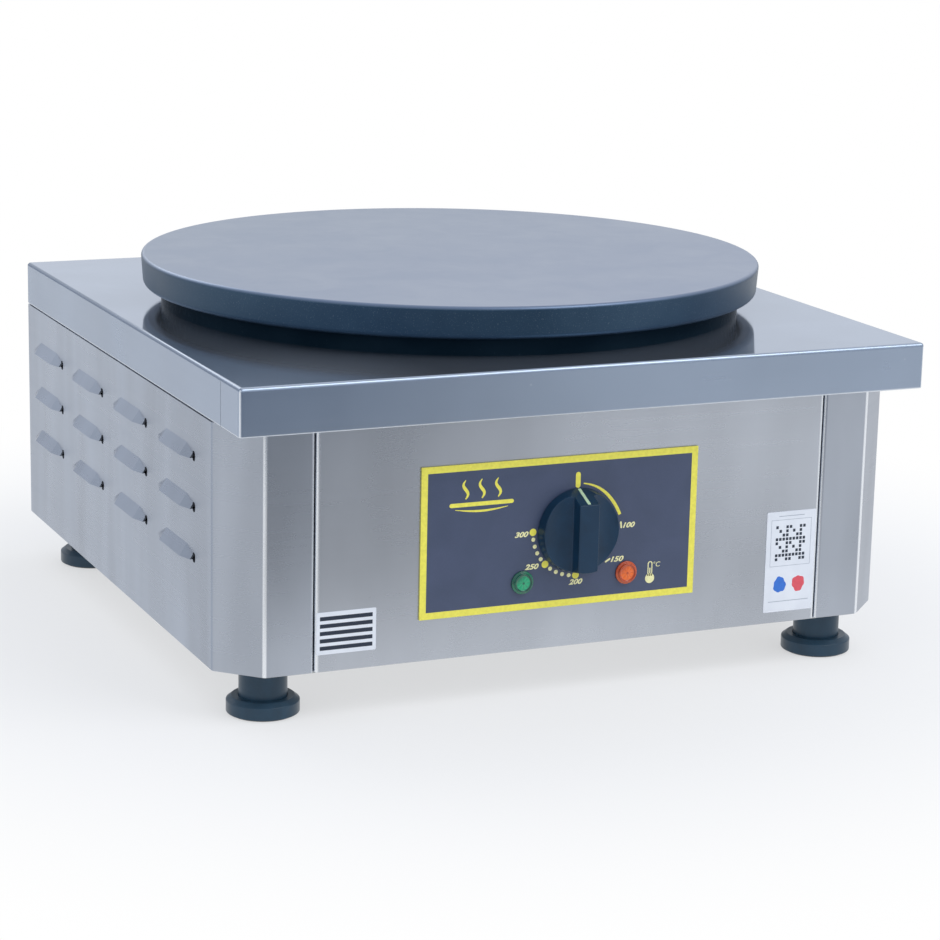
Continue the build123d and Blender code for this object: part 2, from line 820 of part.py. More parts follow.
# ------------------------------------------------------------------ feet
z_socket = foot_disc_top_h - foot_socket_depth
z_collar_low = z_socket + loose_gap
stud_top = z_foot_nut + foot_nut_t + foot_travel

with BuildPart() as foot_collars:
    with BuildSketch(Plane.XY.offset(z_collar_low)):
        with Locations(*foot_places.values()):
            Circle(foot_collar_d / 2)
    extrude(amount=z_base_under - z_collar_low)
    chamfer(foot_collars.edges().group_by(Axis.Z)[0], length=edge_r)
    with BuildSketch(Plane.XY.offset(z_collar_low)):
        with Locations(*foot_places.values()):
            Circle(foot_stud_d / 2 + hole_gap)
    extrude(amount=z_base_under - z_collar_low, mode=Mode.SUBTRACT)
foot_collars.part.label = "foot_collars"
export_step(foot_collars.part, "parts/foot_collars.step")

with BuildPart() as foot_washers:
    with BuildSketch(Plane.XY.offset(z_case)):
        with Locations(*foot_places.values()):
            Circle(foot_washer_d / 2)
            Circle(foot_stud_d / 2 + hole_gap, mode=Mode.SUBTRACT)
    extrude(amount=foot_washer_t)
foot_washers.part.label = "foot_washers"
export_step(foot_washers.part, "parts/foot_washers.step")

with BuildPart() as foot_nuts:
    with BuildSketch(Plane.XY.offset(z_foot_nut)):
        with Locations(*foot_places.values()):
            RegularPolygon(foot_nut_af / 2, 6, major_radius=False)
            Circle(foot_stud_d / 2 + running_gap, mode=Mode.SUBTRACT)
    extrude(amount=foot_nut_t)
foot_nuts.part.label = "foot_nuts"
export_step(foot_nuts.part, "parts/foot_nuts.step")


def foot(name, x, y):
    """The moving parts of one foot: a disc on a threaded stud, and a pad that doesn't turn with them."""
    middle = Plane(origin=(x, y, 0))
    section = Plane(origin=(x, y, 0), x_dir=(1, 0, 0), z_dir=(0, -1, 0))
    spin = Axis((x, y, 0), (0, 0, 1))

    recess_r = foot_disc_d / 2 - foot_rim_t
    recess_top = foot_pad_t + loose_gap / 3
    with BuildPart() as screw_disc:
        with BuildSketch(section) as profile:
            with BuildLine():
                Polyline(
                    (0, recess_top),
                    (recess_r, recess_top),
                    (recess_r, foot_pad_proud),
                    (foot_disc_d / 2, foot_pad_proud),
                    (foot_disc_d / 2, foot_disc_h),
                    (foot_disc_top_d / 2, foot_disc_top_h),
                    (foot_collar_d / 2 + loose_gap, foot_disc_top_h),
                    (foot_collar_d / 2 + loose_gap, z_socket),
                    (0, z_socket),
                    close=True,
                )
            make_face()
            fillet(profile.vertices().group_by(Axis.X)[-1], radius=edge_r)
        revolve(axis=spin)
        bore(middle.offset(z_socket), foot_stud_d + 2 * running_gap, z_socket - foot_stud_seat)
    screw_disc.part.label = f"foot_disc_{name}"
    export_step(screw_disc.part, f"parts/foot_disc_{name}.step")

    with BuildPart() as stud:
        disc(middle.offset(foot_stud_seat), foot_stud_d, stud_top - foot_stud_seat)
        chamfer(stud.edges().group_by(Axis.Z)[-1], length=edge_r)
    stud.part.label = f"foot_stud_{name}"
    export_step(stud.part, f"parts/foot_stud_{name}.step")

    with BuildPart() as pad:
        disc(middle, 2 * (recess_r - loose_gap), foot_pad_t)
        chamfer(pad.edges().group_by(Axis.Z)[0], length=foot_pad_proud / 2)
    pad.part.label = f"foot_pad_{name}"
    export_step(pad.part, f"parts/foot_pad_{name}.step")


for foot_name, (foot_centre_x, foot_centre_y) in foot_places.items():
    foot(foot_name, foot_centre_x, foot_centre_y)

# ------------------------------------------------------------------ fascia, labels and lamps
with BuildPart() as control_fascia:
    with BuildSketch(frontal(y_face, fascia_x, z_tray - fascia_drop)):
        RectangleRounded(fascia_w, fascia_h, edge_r)
    extrude(amount=fascia_t)
    bore(frontal(y_fascia, dial_x, z_dial), shaft_hole_d, fascia_t)
    for side in (-1, 1):
        bore(frontal(y_fascia, lamp_mid_x + side * lamp_x, z_lamp), lamp_hole_d, fascia_t)
        bore(
            frontal(y_fascia, dial_x + side * thermostat_screw_x, z_dial),
            thermostat_screw_head_d + 2 * hole_gap,
            fascia_t,
        )
control_fascia.part.label = "control_fascia"
export_step(control_fascia.part, "parts/control_fascia.step")


def label(name, x, drop, width, height):
    """A printed label stuck on the front panel."""
    with BuildPart() as sticker:
        with BuildSketch(frontal(y_face, x, z_tray - drop)):
            RectangleRounded(width, height, edge_r)
        extrude(amount=label_t)
    sticker.part.label = name
    export_step(sticker.part, f"parts/{name}.step")


label("left_label", label_in - x_joint, left_label_drop, left_label_w, left_label_h)
label("right_label", x_joint - label_in, right_label_drop, right_label_w, right_label_h)


def lamp(name, x):
    """A pilot lamp: a lens in front of the fascia and a lamp holder behind the front panel."""
    front = frontal(y_fascia, x, z_lamp)
    behind = frontal(y_inside, x, z_lamp)
    with BuildPart() as lens:
        disc(front, lens_flange_d, lens_flange_t)
        disc(front.offset(lens_flange_t), lamp_hole_d, lens_h - lens_flange_t)
        fillet(lens.edges().group_by(Axis.Y)[0], radius=edge_r)
        disc(front, lamp_hole_d - 2 * hole_gap, -(fascia_t + sheet_t))
    lens.part.label = f"{name}_lens"
    export_step(lens.part, f"parts/{name}_lens.step")

    with BuildPart() as holder:
        hexagon(behind, lamp_nut_af, -lamp_nut_t)
        disc(behind.offset(-lamp_nut_t), lamp_body_d, -(lamp_body_l - lamp_nut_t))
        with BuildSketch(behind.offset(-lamp_body_l)):
            with GridLocations(lamp_tab_pitch, 0, 2, 1):
                Rectangle(tab_t, tab_w)
        extrude(amount=-tab_l)
    holder.part.label = f"{name}_body"
    export_step(holder.part, f"parts/{name}_body.step")


lamp("green_lamp", x_green)
lamp("orange_lamp", x_orange)

# ------------------------------------------------------------------ thermostat and knob
y_thermostat = y_inside + thermostat_plate_t
y_thermostat_back = y_thermostat + thermostat_l
y_knob_back = y_fascia - knob_gap
knob_back = frontal(y_knob_back, dial_x, z_dial)
y_knob_bore = y_knob_back - knob_bore_depth
pointer_face = Plane(
    origin=(dial_x, y_knob_back, z_dial + knob_d / 2),
    x_dir=(1, 0, 0),
    z_dir=(0, -(knob_d / 2 - knob_bar_above), knob_h),
)

with BuildPart() as thermostat_body:
    with BuildSketch(frontal(y_inside, dial_x, z_dial)):
        Rectangle(thermostat_plate_w, thermostat_h)
    extrude(amount=-thermostat_plate_t)
    with BuildSketch(frontal(y_thermostat, dial_x, z_dial)):
        RectangleRounded(thermostat_w, thermostat_h, 2 * edge_r)
    extrude(amount=-thermostat_l)
    with BuildSketch(frontal(y_thermostat_back, dial_x, z_dial)):
        with GridLocations(tab_pitch_x, tab_pitch_z, 2, 2):
            Rectangle(tab_t, tab_w)
    extrude(amount=-tab_l)
    bore(frontal(y_inside, dial_x, z_dial), shaft_d + 2 * running_gap, thermostat_bore_depth)
    for side in (-1, 1):
        bore(
            frontal(y_inside, dial_x + side * thermostat_screw_x, z_dial),
            thermostat_screw_d + 2 * running_gap,
            thermostat_screw_bite,
        )
thermostat_body.part.label = "thermostat_body"
export_step(thermostat_body.part, "parts/thermostat_body.step")

with BuildPart() as thermostat_screws:
    for side in (-1, 1):
        seat = frontal(y_face, dial_x + side * thermostat_screw_x, z_dial)
        disc(seat, thermostat_screw_head_d, fascia_t)
        disc(seat, thermostat_screw_d, -(sheet_t + thermostat_screw_bite - seat_gap))
thermostat_screws.part.label = "thermostat_screws"
export_step(thermostat_screws.part, "parts/thermostat_screws.step")


def shaft_section(gap):
    """The thermostat shaft's round section with one flat at the top, grown by gap."""
    Circle(shaft_d / 2 + gap)
    with Locations((0, shaft_d / 2 - shaft_flat + gap)):
        Rectangle(2 * shaft_d, shaft_d, align=(Align.CENTER, Align.MIN), mode=Mode.SUBTRACT)


with BuildPart() as thermostat_shaft:
    y_shaft_end = y_inside + thermostat_bore_depth - seat_gap
    disc(frontal(y_shaft_end, dial_x, z_dial), shaft_d, y_shaft_end - y_fascia)
    with BuildSketch(frontal(y_fascia, dial_x, z_dial)):
        shaft_section(0)
    extrude(amount=y_fascia - y_knob_bore - seat_gap)
thermostat_shaft.part.label = "thermostat_shaft"
export_step(thermostat_shaft.part, "parts/thermostat_shaft.step")

with BuildPart() as control_knob:
    with BuildSketch(knob_back):
        Circle(knob_d / 2)
    extrude(amount=knob_h, taper=knob_taper)
    split(bisect_by=pointer_face, keep=Keep.BOTTOM)
    for side in (-1, 1):
        with BuildSketch(Plane((dial_x + side * scoop_x, y_knob_back - scoop_floor - scoop_r, z_dial))):
            Circle(scoop_r)
            with Locations((side * (knob_d / 2 + knob_bar_w / 2 - scoop_x), 0)):
                Rectangle(knob_d, 2 * scoop_r, mode=Mode.INTERSECT)
        extrude(amount=knob_d, both=True, mode=Mode.SUBTRACT)
    front_edges = control_knob.edges().filter_by(
        lambda edge: edge.bounding_box().max.Y < y_knob_back - knob_edge_r
    )
    fillet(front_edges, radius=knob_edge_r)
    with BuildSketch(knob_back):
        Circle(knob_cavity_d / 2)
        Circle(knob_hub_d / 2, mode=Mode.SUBTRACT)
    extrude(amount=knob_cavity_h, mode=Mode.SUBTRACT)
    with BuildSketch(knob_back):
        shaft_section(running_gap)
    extrude(amount=knob_bore_depth, mode=Mode.SUBTRACT)
control_knob.part.label = "control_knob"
export_step(control_knob.part, "parts/control_knob.step")

# ------------------------------------------------------------------ temperature probe
# The bulb lies along a circle between the two elements, and its end is where the capillary starts.
bulb_end_r = sqrt(between_rings_r**2 + (bulb_l / 2) ** 2)
bulb_angle = atan2(bulb_l / 2, between_rings_r) - acos((capillary_x + bulb_lead) / bulb_end_r)
bulb_y = axis_y + between_rings_r * sin(bulb_angle)
bulb_along = Vector(sin(bulb_angle), -cos(bulb_angle), 0)
z_bulb = z_under - seat_gap - bulb_d / 2
bulb_end = Vector(between_rings_r * cos(bulb_angle), bulb_y, z_bulb) + bulb_along * (bulb_l / 2)
z_capillary = z_insulation_top + capillary_d
y_opening = axis_y + terminal_y
z_capillary_in = z_tray - capillary_drop
capillary_in_x = dial_x + capillary_side
capillary_in_y = y_thermostat + thermostat_l / 2
z_thermostat_top = z_dial + thermostat_h / 2

with BuildPart() as temperature_probe:
    with BuildSketch(Plane(origin=bulb_end, z_dir=-bulb_along)):
        Circle(bulb_d / 2)
    extrude(amount=bulb_l)
    with BuildLine() as capillary_line:
        FilletPolyline(
            bulb_end,
            bulb_end + bulb_along * capillary_bend_r * 2.5,
            (capillary_x, bulb_y, z_capillary),
            (capillary_x, y_opening, z_capillary),
            (capillary_x, y_opening, z_capillary_in),
            (capillary_in_x, capillary_in_y, z_capillary_in),
            (capillary_in_x, capillary_in_y, z_thermostat_top),
            radius=capillary_bend_r,
        )
    with BuildSketch(Plane(origin=bulb_end, z_dir=bulb_along)):
        Circle(capillary_d / 2)
    sweep(path=capillary_line.wire())
temperature_probe.part.label = "temperature_probe"
export_step(temperature_probe.part, "parts/temperature_probe.step")

# ------------------------------------------------------------------ mains inlet
rear_face = Plane(origin=(gland_x, y_rear, z_gland), x_dir=(-1, 0, 0), z_dir=(0, 1, 0))

with BuildPart() as gland_body:
    hexagon(rear_face, gland_af, gland_collar_t)
    disc(rear_face, gland_thread_d, gland_collar_t + gland_thread_l)
    disc(rear_face, gland_thread_d, -(sheet_t + gland_inside_l))
    bore(rear_face.offset(gland_proud), gland_bore_d, 2 * gland_proud + 2 * gland_inside_l)
gland_body.part.label = "gland_body"
export_step(gland_body.part, "parts/gland_body.step")

with BuildPart() as gland_cap_nut:
    cap_start = rear_face.offset(gland_collar_t)
    hexagon(cap_start, gland_cap_af, gland_cap_hex_l)
    disc(cap_start, gland_cap_af - loose_gap, gland_cap_l)
    fillet(gland_cap_nut.edges().group_by(Axis.Y)[-1], radius=gland_cap_edge_r)
    bore(cap_start.offset(gland_cap_thread_l), gland_thread_d + 2 * running_gap, gland_cap_l)
    bore(cap_start.offset(gland_cap_l), gland_bore_d, gland_cap_l)
gland_cap_nut.part.label = "gland_cap_nut"
export_step(gland_cap_nut.part, "parts/gland_cap_nut.step")

with BuildPart() as gland_seal:
    seal_start = rear_face.offset(gland_collar_t + gland_thread_l)
    disc(seal_start, gland_bore_d - 2 * running_gap, -gland_seal_l)
    bore(seal_start, gland_seal_bore_d, gland_seal_l)
gland_seal.part.label = "gland_seal"
export_step(gland_seal.part, "parts/gland_seal.step")

with BuildPart() as gland_locknut:
    hexagon(rear_face.offset(-sheet_t), gland_af, -locknut_t)
    bore(rear_face, gland_thread_d + 2 * running_gap, sheet_t + locknut_t)
gland_locknut.part.label = "gland_locknut"
export_step(gland_locknut.part, "parts/gland_locknut.step")

# ------------------------------------------------------------------ terminal block, earth stud and wires
pole_pitch = block_w / block_poles
block_corner_x = block_x - block_w / 2
pole_xs = [block_corner_x + pole_pitch * (pole + 0.5) for pole in range(block_poles)]
y_block_front = axis_y + block_y - block_d / 2
z_pole = z_case + block_pole_h
z_block_top = z_case + block_h

with BuildPart() as terminal_block:
    with BuildSketch(level(z_case, block_x, block_y)):
        RectangleRounded(block_w, block_d, 2 * edge_r)
    extrude(amount=block_h)
    with BuildSketch(level(z_block_top, block_x, block_y)):
        with GridLocations(pole_pitch, 0, block_poles - 1, 1):
            Rectangle(block_slot_w, block_d)
    extrude(amount=-block_slot_depth, mode=Mode.SUBTRACT)
    with BuildSketch(level(z_block_top, block_x, block_y)):
        with GridLocations(pole_pitch, 0, block_poles, 1):
            Circle(block_screw_d / 2)
    extrude(amount=-block_screw_depth, mode=Mode.SUBTRACT)
terminal_block.part.label = "terminal_block"
export_step(terminal_block.part, "parts/terminal_block.step")

with BuildPart() as terminal_screws:
    screw_seats = level(z_block_top - block_screw_depth, block_x, block_y)
    with BuildSketch(screw_seats):
        with GridLocations(pole_pitch, 0, block_poles, 1):
            Circle(block_screw_d / 2 - hole_gap)
            Rectangle(block_screw_d, block_slot_w, mode=Mode.SUBTRACT)
    extrude(amount=block_screw_h)
    with BuildSketch(screw_seats):
        with GridLocations(pole_pitch, 0, block_poles, 1):
            Circle(block_screw_d / 2 - hole_gap)
    extrude(amount=block_screw_h - block_screw_slot)
terminal_screws.part.label = "terminal_screws"
export_step(terminal_screws.part, "parts/terminal_screws.step")

with BuildPart() as earth_stud:
    stud_foot = level(z_base_under, earth_x, earth_y)
    hexagon(stud_foot, earth_nut_af, -earth_nut_t / 2)
    disc(stud_foot, earth_stud_d, sheet_t + earth_stud_l)
earth_stud.part.label = "earth_stud"
export_step(earth_stud.part, "parts/earth_stud.step")

with BuildPart() as earth_nut:
    hexagon(level(z_case, earth_x, earth_y), earth_nut_af, earth_nut_t)
    bore(level(z_case + earth_nut_t, earth_x, earth_y), earth_stud_d + 2 * running_gap, earth_nut_t)
earth_nut.part.label = "earth_nut"
export_step(earth_nut.part, "parts/earth_nut.step")


def wire(diameter, *points):
    """A wire along straight runs joined by tangent arcs."""
    with BuildLine() as run:
        FilletPolyline(*points, radius=wire_bend_r)
    with BuildSketch(run.line ^ 0) as section:
        Circle(diameter / 2)
    sweep(section.sketch, path=run.wire())


def pole_run(index):
    """Where a wire meets the front of a pole, and a point straight out of it."""
    x = pole_xs[index]
    return (x, y_block_front - wire_gap, z_pole), (x, y_block_front - 2 * wire_bend_r, z_pole)


def tab_run(x, z, y_tab):
    """Where a wire meets a tab on the back of a control, and a point straight behind it."""
    y_end = y_tab + tab_l
    return (x, y_end + wire_gap, z), (x, y_end + 2 * wire_bend_r, z)


def element_end(x):
    """Where a wire meets the pin of an element end, from below."""
    return (x, y_opening, z_under - terminal_drop - terminal_pin_l - wire_gap)


z_low_run = z_case + wire_run_h
y_lamp_back = y_inside + lamp_body_l
x_left_tab = dial_x - tab_pitch_x / 2
x_right_tab = dial_x + tab_pitch_x / 2
z_upper_tab = z_dial + tab_pitch_z / 2
z_lower_tab = z_dial - tab_pitch_z / 2

with BuildPart() as live_wires:
    start, out = pole_run(0)
    tab, behind = tab_run(x_right_tab, z_upper_tab, y_thermostat_back)
    wire(
        wire_d,
        start,
        out,
        (out[0], out[1], z_low_run),
        (behind[0], behind[1], z_low_run),
        behind,
        tab,
    )
    tab, behind = tab_run(x_left_tab, z_upper_tab, y_thermostat_back)
    wire(wire_d, tab, behind, (-outer_leg_x, y_opening, z_upper_tab), element_end(-outer_leg_x))
live_wires.part.label = "live_wires"
export_step(live_wires.part, "parts/live_wires.step")

with BuildPart() as neutral_wires:
    for index, leg_x in ((1, outer_leg_x), (2, inner_leg_x)):
        start, out = pole_run(index)
        z_run = z_low_run + index * wire_layer
        wire(wire_d, start, out, (out[0], out[1], z_run), (leg_x, y_opening, z_run), element_end(leg_x))
neutral_wires.part.label = "neutral_wires"
export_step(neutral_wires.part, "parts/neutral_wires.step")

with BuildPart() as lamp_wires:
    start, out = pole_run(3)
    half_pitch = lamp_tab_pitch / 2
    tab, behind = tab_run(x_orange + half_pitch, z_lamp, y_lamp_back)
    wire(lamp_wire_d, start, out, (out[0], out[1], z_lamp), behind, tab)
    tab, behind = tab_run(x_green - half_pitch, z_lamp, y_lamp_back)
    to_tab, to_behind = tab_run(x_left_tab, z_lower_tab, y_thermostat_back)
    wire(lamp_wire_d, tab, behind, to_behind, to_tab)
    tab, behind = tab_run(x_green + half_pitch, z_lamp, y_lamp_back)
    to_tab, to_behind = tab_run(x_orange - half_pitch, z_lamp, y_lamp_back)
    wire(lamp_wire_d, tab, behind, to_behind, to_tab)
lamp_wires.part.label = "lamp_wires"
export_step(lamp_wires.part, "parts/lamp_wires.step")

with BuildPart() as earth_wire:
    start, out = pole_run(4)
    wire(wire_d, start, out, (earth_x - earth_stud_d / 2 - wire_gap, out[1], z_pole))
earth_wire.part.label = "earth_wire"
export_step(earth_wire.part, "parts/earth_wire.step")

with BuildPart() as element_link:
    with BuildSketch(level(z_under - terminal_drop - terminal_pin_l / 2, y=terminal_y)):
        with Locations((-(inner_leg_x + outer_leg_x) / 2, 0)):
            SlotCenterToCenter(inner_leg_x - outer_leg_x, 2 * terminal_pin_d)
        with Locations((-inner_leg_x, 0), (-outer_leg_x, 0)):
            Circle(terminal_pin_d / 2 + running_gap, mode=Mode.SUBTRACT)
    extrude(amount=sheet_t)
element_link.part.label = "element_link"
export_step(element_link.part, "parts/element_link.step")
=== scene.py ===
import json
from math import atan2, cos, pi, radians, sin, sqrt, tan

import bpy
from mathutils import Matrix, Vector


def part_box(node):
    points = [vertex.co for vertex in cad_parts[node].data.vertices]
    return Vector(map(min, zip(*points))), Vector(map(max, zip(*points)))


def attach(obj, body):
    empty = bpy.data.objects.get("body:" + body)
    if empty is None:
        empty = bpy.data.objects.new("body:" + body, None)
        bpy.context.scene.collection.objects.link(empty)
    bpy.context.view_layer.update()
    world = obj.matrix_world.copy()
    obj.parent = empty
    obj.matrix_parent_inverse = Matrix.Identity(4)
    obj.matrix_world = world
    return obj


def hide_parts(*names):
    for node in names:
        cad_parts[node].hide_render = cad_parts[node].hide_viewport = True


MM = 0.001
CORNER_CUT = 24.0 * MM  # how far the case's front corners are cut back, along each side

# The cooking plate's section, in mm.
PLATE_R = 200.0
PLATE_T = 13.0
RIM_WALL = 10.0
RIM_DRAFT = 1.4
EDGE_R = 2.2
FOOT_R = 3.5
FACE_BAND = 30.0  # the outer part of the face that follows the section; one flat disc fills the rest

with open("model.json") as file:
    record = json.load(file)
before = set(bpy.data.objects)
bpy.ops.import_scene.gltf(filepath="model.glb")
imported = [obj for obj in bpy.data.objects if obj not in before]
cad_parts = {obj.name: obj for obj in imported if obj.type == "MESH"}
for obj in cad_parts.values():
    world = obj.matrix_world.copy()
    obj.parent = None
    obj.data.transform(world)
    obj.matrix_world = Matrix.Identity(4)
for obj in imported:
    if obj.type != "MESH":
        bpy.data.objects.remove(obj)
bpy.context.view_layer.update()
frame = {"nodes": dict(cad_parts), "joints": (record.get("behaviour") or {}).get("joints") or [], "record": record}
plate_low, plate_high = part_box("griddle_plate")


# ------------------------------------------------------------------ materials
class Graph:
    """Short ways to add linked nodes to one node tree."""

    def __init__(self, tree):
        self.nodes = tree.nodes
        self.links = tree.links

    def node(self, kind, options=None, **inputs):
        """A new node; inputs are named by their socket, or i0, i1 and so on by its number."""
        node = self.nodes.new(kind)
        for key, value in (options or {}).items():
            setattr(node, key, value)
        for key, value in inputs.items():
            numbered = key[0] == "i" and key[1:].isdigit()
            socket = node.inputs[int(key[1:])] if numbered else node.inputs[key]
            if isinstance(value, bpy.types.NodeSocket):
                self.links.new(value, socket)
            else:
                socket.default_value = value
        return node

    def math(self, operation, a, b=0.0, c=0.0, clamp=False):
        options = {"operation": operation, "use_clamp": clamp}
        made = self.node("ShaderNodeMath", options, i0=a, i1=b, i2=c)
        return made.outputs[0]

    def span(self, value, low, high, to_low, to_high):
        """value from low..high spread to to_low..to_high, held at the ends."""
        made = self.node("ShaderNodeMapRange", i0=value, i1=low, i2=high, i3=to_low, i4=to_high)
        return made.outputs["Result"]


class Finish(Graph):
    """A Principled material whose patterns are laid out in metres on the object."""

    def __init__(self, name, color, roughness=0.5, metallic=0.0, **settings):
        self.material = bpy.data.materials.new(name)
        self.material.use_nodes = True
        super().__init__(self.material.node_tree)
        self.shader = self.nodes["Principled BSDF"]
        self.place = self.nodes.new("ShaderNodeTexCoord").outputs["Object"]
        self.color = color
        self.set("Base Color", (*color, 1.0))
        self.set("Roughness", roughness)
        self.set("Metallic", metallic)
        for socket, value in settings.items():
            self.set(socket.replace("_", " "), value)

    def set(self, socket, value):
        self.shader.inputs[socket].default_value = value

    def feed(self, socket, output):
        self.links.new(output, self.shader.inputs[socket])

    def at(self, axis):
        """Where the surface is along an axis, in metres."""
        return self.node("ShaderNodeSeparateXYZ", Vector=self.place).outputs[axis]

    def distance(self, across, x, y):
        """Distance in plan from x, y to the surface, where across is the surface's own x."""
        off_x = self.math("POWER", self.math("SUBTRACT", across, x), 2.0)
        off_y = self.math("POWER", self.math("SUBTRACT", self.at("Y"), y), 2.0)
        return self.math("SQRT", self.math("ADD", off_x, off_y))

    def noise(self, scale, detail=3.0, distortion=0.0, rough=0.5):
        """Noise whose cells are about 1 / scale metres long on each axis."""
        spread = self.node("ShaderNodeMapping", Vector=self.place, Scale=scale)
        made = self.node(
            "ShaderNodeTexNoise",
            Vector=spread.outputs["Vector"],
            Scale=1.0,
            Detail=detail,
            Distortion=distortion,
            Roughness=rough,
        )
        return made.outputs["Fac"]

    def share(self, part, first, second):
        """part of first and the rest of second, both plain values."""
        return self.math("MULTIPLY_ADD", first, part, self.math("MULTIPLY", second, 1 - part))

    def blend(self, factor, first, second):
        made = self.node("ShaderNodeMix", {"data_type": "RGBA"}, i0=factor)
        for index, value in ((6, first), (7, second)):
            if isinstance(value, bpy.types.NodeSocket):
                self.links.new(value, made.inputs[index])
            else:
                made.inputs[index].default_value = (*value, 1.0)
        return made.outputs[2]

    def bump(self, height, distance, strength=1.0, under=None):
        made = self.node("ShaderNodeBump", Height=height, Distance=distance, Strength=strength)
        if under is not None:
            self.links.new(under, made.inputs["Normal"])
        self.feed("Normal", made.outputs["Normal"])
        return made.outputs["Normal"]

    def facing(self, axis):
        """How far the surface faces along an axis, from -1 to 1."""
        normal = self.node("ShaderNodeNewGeometry").outputs["Normal"]
        return self.node("ShaderNodeSeparateXYZ", Vector=normal).outputs[axis]

    def upright(self):
        """1 on upright and downward faces, 0 on faces that look up."""
        return self.span(self.facing("Z"), 0.55, 0.90, 1.0, 0.0)

    def times(self, factor, color, by):
        """color multiplied by a fixed colour, as far as factor says."""
        options = {"data_type": "RGBA", "blend_type": "MULTIPLY"}
        made = self.node("ShaderNodeMix", options, i0=factor, i6=color)
        made.inputs[7].default_value = (*by, 1.0)
        return made.outputs[2]

    def tint(self, amount, factor):
        """Base colour that runs between darker and lighter by amount with factor."""
        dark = [c * (1 - amount) for c in self.color]
        light = [min(1.0, c * (1 + amount)) for c in self.color]
        self.feed("Base Color", self.blend(factor, dark, light))


def small_part(name, color, roughness, metallic=0.0, grain=900.0, vary=0.12, depth=0.00002):
    """A quieter finish for parts that hardly show: mottled colour, uneven gloss and a fine grain."""
    f = Finish(name, color, roughness, metallic)
    cloud = f.noise((60, 60, 60), 3)
    f.tint(vary, f.span(cloud, 0.3, 0.7, 0, 1))
    f.feed("Roughness", f.span(cloud, 0.3, 0.7, roughness * 0.85, min(1.0, roughness * 1.15)))
    f.bump(f.noise((grain, grain, grain), 2), depth)
    return f.material


